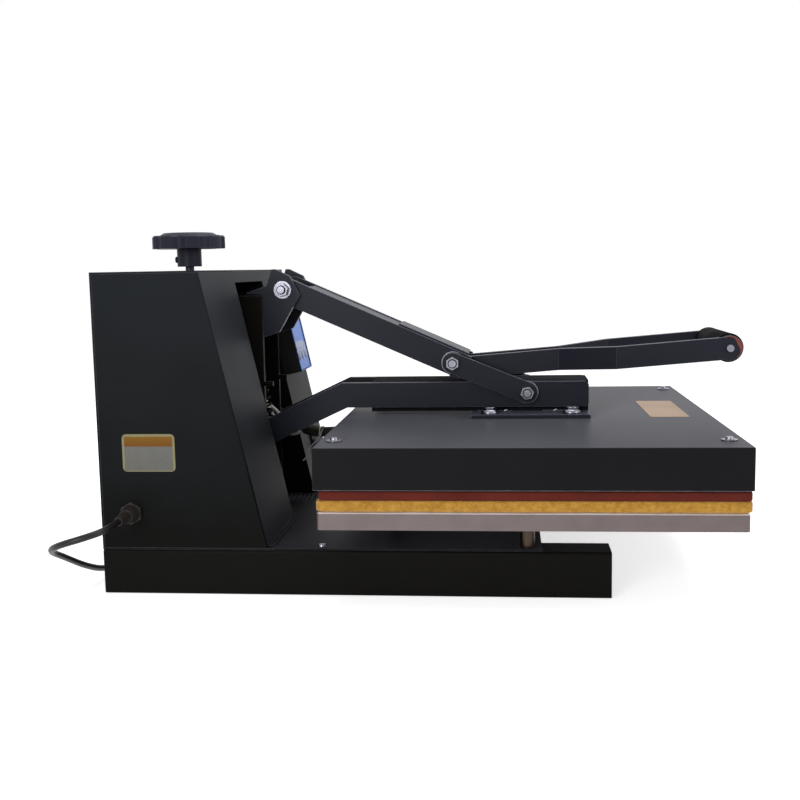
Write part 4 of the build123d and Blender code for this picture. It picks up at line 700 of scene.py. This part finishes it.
harness_line = smooth_places(harness_route)
arc = np.concatenate([[0], np.cumsum(np.linalg.norm(np.diff(harness_line, axis=0), axis=1))])
print("harness length", round(arc[-1], 1), "mm")
even = np.linspace(0, arc[-1], 110)
sleeve_line = np.stack([np.interp(even, arc, harness_line[:, i]) for i in range(3)], axis=1)
share = even / arc[-1]
wire_routes = [
    [(60, 22, 196), (92, 24, 190), (112, 25, 178), (122, 25, 166), (131, 25, 150.5), (138, 26, 139),
     (146, 27, 129), (154, 33, 127), (161, 42, 129), (170, 44, 131)],
    [(60, 27, 199), (92, 28, 192), (113, 28, 177), (124, 27, 165.5), (138, 27, 153), (143, 27, 141),
     (149, 28, 132), (156, 35, 130.5), (162, 43, 132.5), (170, 44, 131)],
    [(60, 17, 200), (90, 19, 192), (108, 20, 180), (117, 21, 163), (127, 22, 146), (139, 24, 136),
     (151, 27, 131), (156, 33, 129), (161, 44, 134), (170, 44, 131)],
]
wires = [tube(f"heater_wire_{number + 1}", smooth_places(route), 1.9, wire_white, None, 10)
         for number, route in enumerate(wire_routes)]
thin_radius, swelling, pinch = 3.6, 3.0, 0.9
tie_at, tie_radius = 0.72, 6.3
mouth_at = np.interp(back_x + 160, sleeve_line[:, 0], share)
grown = 1 / (1 + np.exp(-(share - mouth_at) / 0.008))
sleeve_radius = thin_radius + swelling * grown - pinch * np.exp(-((share - tie_at) / 0.03) ** 2)
sleeve = tube("harness_sleeve", sleeve_line, sleeve_radius, sleeve_braid, None, 20)
tie_index = int(tie_at * (len(sleeve_line) - 1))
tie_way = sleeve_line[tie_index + 1] - sleeve_line[tie_index - 1]
tie_way /= np.linalg.norm(tie_way)
tie_out = np.cross(tie_way, y_way)
tie_out /= np.linalg.norm(tie_out)
tie_side = np.cross(tie_way, tie_out)
a = np.linspace(0, 2 * np.pi, 36, endpoint=False)[:, None]
tie_ring = sleeve_line[tie_index] + tie_radius * (np.cos(a) * tie_out + np.sin(a) * tie_side)
cable_tie = tube("cable_tie", tie_ring, 0.9, tie_nylon, None, 8)
tie_tail = tube("tie_tail", smooth_places([(190, 31, 137), (187.5, 26, 131), (185.5, 25.5, 125), (181, 27, 119),
                                           (174, 29, 113.5), (170.5, 30, 106), (168, 31, 99), (163, 32, 95)]),
                1.0, tie_nylon, None, 8)
for piece in wires + [sleeve, cable_tie, tie_tail]:
    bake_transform(piece)
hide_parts("wiring_harness")

# %% [markdown]
# ## Plates and the display window
# The tan plate on the cover, the plate on the near wall and the window in the blue film are thin sheets
# with rounded corners. A sheet is its outline carried through its thickness, with a small
# pulled-in edge on top that catches the light.

# %% Thin plates
def outline_stack(centre, across_way, up_way, size, corner, steps):
    """Rounded outlines on the plane of the two ways, in metres: each step is a margin round it and a rise."""
    out = np.cross(across_way, up_way)
    rings = []
    for margin, rise in steps:
        outline = rounded_outline(size[0] / 2 + margin, size[1] / 2 + margin, corner + margin)
        rings.append(centre + outline[:, :1] * across_way + outline[:, 1:] * up_way + out * rise)
    return np.array(rings) / 1000


def thin_plate(name, centre, across_way, up_way, size, corner, thickness, material, body):
    """Outlines at heights 0, 0.7 and 1 of the thickness, the last one pulled in by 0.3 of it."""
    steps = ((0.0, 0.0), (0.0, 0.7 * thickness), (-0.3 * thickness, thickness))
    return shell(name, outline_stack(centre, across_way, up_way, size, corner, steps), material, body)


cover_top = box_mm("platen_cover")[1, 2]
near_wall = box_mm("side_housing_near")[0, 1]
film_thickness = 0.3
thin_plate("cover_plate", in_frame((585, 16, cover_top)), x_way, y_way, (42, 140), 2.0, film_thickness,
           tan_film, "lower_arm")
thin_plate("wall_plate", in_frame((plate_u, near_wall, plate_z)), x_way, z_way, (plate_length, plate_height),
           4.5, film_thickness, cream_plate, "base_unit")
panel = nodes["control_panel"].data
panel_points = np.zeros(len(panel.vertices) * 3)
panel.vertices.foreach_get("co", panel_points)
panel_points = panel_points.reshape(-1, 3) * 1000
panel_out = np.array([0.9766, 0.0, 0.21506])
panel_up = np.cross(panel_out, y_way)
face_depth = (panel_points @ panel_out).max()
window_y, window_z = 97.0, 231.5
window_up = (window_z - face_depth * panel_out[2]) / panel_up[2]
window_centre = panel_out * face_depth + panel_up * window_up + y_way * window_y
thin_plate("display_window", window_centre, y_way, panel_up, (46, 8.5), 1.2, film_thickness, window_film,
           "base_unit")
print("cover top", round(cover_top, 2), "near wall", round(near_wall, 2), "panel depth", round(face_depth, 2))

# %% [markdown]
# ## Weld beads
# The lower arm's bars are welded to the foot plate. A bead is a tube half sunk in the joint whose radius
# ripples, one ripple for each pool of the weld, and it is painted over. Two short tacks on the near side are
# bare.

# %% Weld beads
def bead(name, begin, end, body, radius=1.7, pitch=2.6, material=arm_paint):
    """Tube from begin to end with radius * (1 + 0.16 * |sin(pi * s / pitch)|), tapered to its ends."""
    begin, end = np.array(begin, float), np.array(end, float)
    length = np.linalg.norm(end - begin)
    s = np.linspace(0, length, int(length / 0.5))
    swell = radius * (1 + 0.16 * np.abs(np.sin(np.pi * s / pitch)))
    swell *= np.sqrt(np.clip(np.minimum(s, length - s) / 1.5, 0.02, 1))
    path = begin + (end - begin) * (s / length)[:, None]
    return tube(name, path, swell, material, body, 10)


foot_low, foot_high = box_mm("foot_plate")
bars_low, bars_high = box_mm("lower_arm_bars")
foot_top = foot_high[2]
for number, side_sign in both_sides:
    for part_number, (from_x, to_x) in enumerate(((foot_low[0] + 6, foot_low[0] + 46),
                                                  (foot_high[0] - 52, foot_high[0] - 10))):
        y = side_sign * (bars_high[1] + 0.4)
        bead(f"foot_bead_{number}_{part_number + 1}", (from_x, y, foot_top + 0.3), (to_x, y, foot_top + 0.3),
             "lower_arm")
bar_side = bars_low[1] - 0.6
for number, (from_u, to_u) in enumerate(((404.5, 409.5), (459.0, 464.5))):
    begin, end = in_frame([(from_u, bar_side, foot_top + 0.5), (to_u, bar_side, foot_top + 2.4)])
    bead(f"bare_bead_{number + 1}", begin, end, "lower_arm", 1.3, 2.0, zinc)
print("beads made")

# %% [markdown]
# ## Small rings and crowns
# A nut's thread starts in a countersunk mouth, drawn as a thin dark ring of painted shade round the bright bolt
# end. A foot bolt's head has a low crown and a flange. Round each key the film rises in a narrow ring, and a
# raised bezel frames the film.
# The knob's hub has a set screw, the grip a foam sleeve and a maroon lip at each end. Most of them are turned
# profiles: a list of (radius, height) places that goes once round an axis.

# %% Rings, crowns and bezel
def turned(name, centre, axis, profile, material, body, sides=32):
    """centre + radius * (cos a * p + sin a * q) + height * axis for each (radius, height) of the profile."""
    axis = np.array(axis, float) / np.linalg.norm(axis)
    p = np.cross(axis, [0.3, 0.9, 0.2])
    p /= np.linalg.norm(p)
    q = np.cross(axis, p)
    a = np.linspace(0, 2 * np.pi, sides, endpoint=False)
    ring = np.cos(a)[None, :, None] * p + np.sin(a)[None, :, None] * q
    radius, height = np.array(profile, float).T
    points = np.asarray(centre) + radius[:, None, None] * ring + (height[:, None, None] * axis)
    return shell(name, points / 1000, material, body, close_first=True, capped=False)


bolt_stub, washer_radius, washer_thickness = 2.6, 9.8, 1.6
for node, body in (("top_pivot_fasteners", "pressure_yoke"), ("elbow_fasteners", "toggle"),
                   ("link_pivot_fasteners", "lower_arm")):
    low, high = box_mm(node)
    middle = (low + high) / 2
    for number, side_sign, end_y in ((1, -1, low[1]), (2, 1, high[1])):
        seat = (middle[0], end_y - side_sign * bolt_stub, middle[2])
        # Each mouth is a thin dark ring on the nut face: painted shade of the countersink.
        turned(f"{node}_mouth_{number}", seat, (0, side_sign, 0),
               [(4.05, 0.02), (5.1, 0.02), (5.1, 0.22), (4.05, 0.22)], mouth_shadow, body)

low, high = box_mm("foot_bolts")
for number, (x, y) in enumerate((x, y) for x in (low[0] + washer_radius, high[0] - washer_radius)
                                for y in (low[1] + washer_radius, high[1] - washer_radius)):
    turned(f"foot_bolt_crown_{number + 1}", (x, y, high[2]), (0, 0, 1),
           [(7.4, 0.02), (7.2, 0.6), (5.4, 1.6), (2.6, 2.0), (0.02, 2.1)], zinc, "lower_arm")
    turned(f"foot_bolt_flange_{number + 1}", (x, y, foot_top + washer_thickness), (0, 0, 1),
           [(7.55, 3.2), (8.0, 3.0), (9.3, 1.2), (9.5, 0.02), (7.55, 0.02)], zinc, "lower_arm")

for key in ("button_mode", "button_minus", "button_plus"):
    middle = np.mean(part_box(key), axis=0) * 1000
    seat = middle + panel_out * (face_depth - middle @ panel_out)
    turned(f"{key}_ring", seat, panel_out, [(5.05, 0.02), (7.0, 0.02), (6.2, 0.6), (5.3, 1.1), (5.05, 1.15)],
           window_film, "base_unit")

hub_radius, screw_way = 14.0, np.array([-0.966, -0.259, 0.0])
turned("knob_set_screw", in_frame((42.5, 0, 338)) + hub_radius * screw_way, screw_way,
       [(3.6, -0.6), (3.6, 0.8), (2.9, 1.9), (1.6, 2.4), (0.02, 2.5)], phenolic, "adjuster", 24)

grip_centre = np.mean(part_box("grip"), axis=0) * 1000 * (1, 0, 1)
turned("grip_foam", grip_centre, y_way,
       [(14.05, -51.9), (15.0, -51.9), (15.4, -51.4), (15.4, 51.4), (15.0, 51.9), (14.05, 51.9)], grip_rubber,
       "upper_arm", 48)
# Each lip is a crescent on the handle bar's outer face, widest towards the front.
bar_face, lip_face, lip_radius = 66.02, 66.5, 13.0
lip_angles = np.radians(np.linspace(-55, 118, 40))
lip_widths = 0.8 + 3.8 * np.exp(-((lip_angles - np.radians(25)) / 0.75) ** 2)
for number, side_sign in both_sides:
    lip = np.array([[(radius * math.cos(angle), side_sign * depth, radius * math.sin(angle))
                     for radius, depth in ((lip_radius - wide, bar_face), (lip_radius, bar_face),
                                           (lip_radius - 0.2, lip_face), (lip_radius + 0.2 - wide, lip_face))]
                    for angle, wide in zip(lip_angles, lip_widths)])
    shell(f"grip_lip_{number}", (lip + grip_centre) / 1000, ring_plastic, "upper_arm")

across, upward = panel_points @ y_way, panel_points @ panel_up
panel_middle = (panel_out * face_depth + y_way * (across.min() + across.max()) / 2
                + panel_up * (upward.min() + upward.max()) / 2)
bezel_steps = ((0.0, 0.02), (1.9, 0.02), (1.9, 1.0), (1.4, 1.3), (0.4, 1.3), (0.0, 1.0))
bezel_points = outline_stack(panel_middle, y_way, panel_up, (np.ptp(across), np.ptp(upward)), 1.0, bezel_steps)
shell("panel_bezel", bezel_points, bezel_plastic, "base_unit", close_first=True, capped=False)
print("rings, crowns and bezel made")

# %% [markdown]
# ## Light and sky
# The photograph is a cut-out on white. Soft light comes from a wide lamp above, a second one from the
# camera's left and a weak one from the right. White in the picture comes from the floor and the sky as the
# camera sees them, so the lamps stay at a plain level at which a colour shows about as it is written.

# %% Light
def softbox(name, spot, target, size, watts):
    """Area lamp of size metres at spot, facing target."""
    data = bpy.data.lights.new(name, "AREA")
    data.shape = "DISK"
    data.size = size
    data.energy = watts
    lamp = bpy.data.objects.new(name, data)
    lamp.location = spot
    lamp.rotation_euler = (Vector(target) - Vector(spot)).to_track_quat("-Z", "Y").to_euler()
    bpy.context.scene.collection.objects.link(lamp)


def seen_by(tree, *rays):
    """1 for the named kinds of ray, 0 for the rest."""
    kinds = add(tree, "LightPath").outputs
    seen = kinds[rays[0]]
    for ray in rays[1:]:
        seen = add(tree, "Math", {0: seen, 1: kinds[ray]}, operation="MAXIMUM").outputs["Value"]
    return seen


softbox("top_box", (0.25, 0.2, 1.7), (0.05, 0.0, 0.1), 1.6, 22.0)
softbox("near_box", (-0.7, -1.9, 0.7), (0.0, 0.0, 0.15), 0.9, 14.5)
softbox("right_box", (1.9, -0.7, 0.8), (0.0, 0.0, 0.2), 1.0, 8.0)

sky_level, floor_glow = 0.42, 0.64
sky = bpy.data.worlds.new("studio")
bpy.context.scene.world = sky
sky.use_nodes = True
tree = sky.node_tree
tree.nodes.clear()
seen = seen_by(tree, "Is Camera Ray", "Is Glossy Ray", "Is Transmission Ray")
dim = add(tree, "Background", {"Color": colour("#ffffff"), "Strength": sky_level})
white = add(tree, "Background", {"Color": colour("#ffffff"), "Strength": 1.0})
mixed = add(tree, "MixShader", {"Fac": seen, 1: dim.outputs["Background"], 2: white.outputs["Background"]})
add(tree, "OutputWorld", {"Surface": mixed.outputs["Shader"]})

# %% [markdown]
# ## Floor
# The floor is white paper, a hair below the feet. It is matt, and it glows a little for the camera and for
# mirrored rays, so that it shows white without lighting the press from below.

# %% Floor
floor_points = np.array([[[x, y, -0.0002] for y in (-40.0, 40.0)] for x in (-40.0, 40.0)])
floor_mesh = bpy.data.meshes.new("floor")
floor_mesh.from_pydata(floor_points.reshape(-1, 3).tolist(), [], [(0, 2, 3, 1)])
floor = bpy.data.objects.new("floor", floor_mesh)
bpy.context.scene.collection.objects.link(floor)
paper = bpy.data.materials.new("white_paper")
paper.use_nodes = True
tree = paper.node_tree
tree.nodes.clear()
matt = add(tree, "BsdfDiffuse", {"Color": colour("#f4f4f4")})
seen = seen_by(tree, "Is Camera Ray", "Is Glossy Ray")
glow_level = add(tree, "Math", {0: seen, 1: floor_glow}, operation="MULTIPLY")
glow = add(tree, "Emission", {"Color": colour("#ffffff"), "Strength": glow_level.outputs["Value"]})
both = add(tree, "AddShader", {0: matt.outputs["BSDF"], 1: glow.outputs["Emission"]})
add(tree, "OutputMaterial", {"Surface": both.outputs["Shader"]})
floor_mesh.materials.append(paper)
bpy.context.scene.view_settings.view_transform = "Standard"
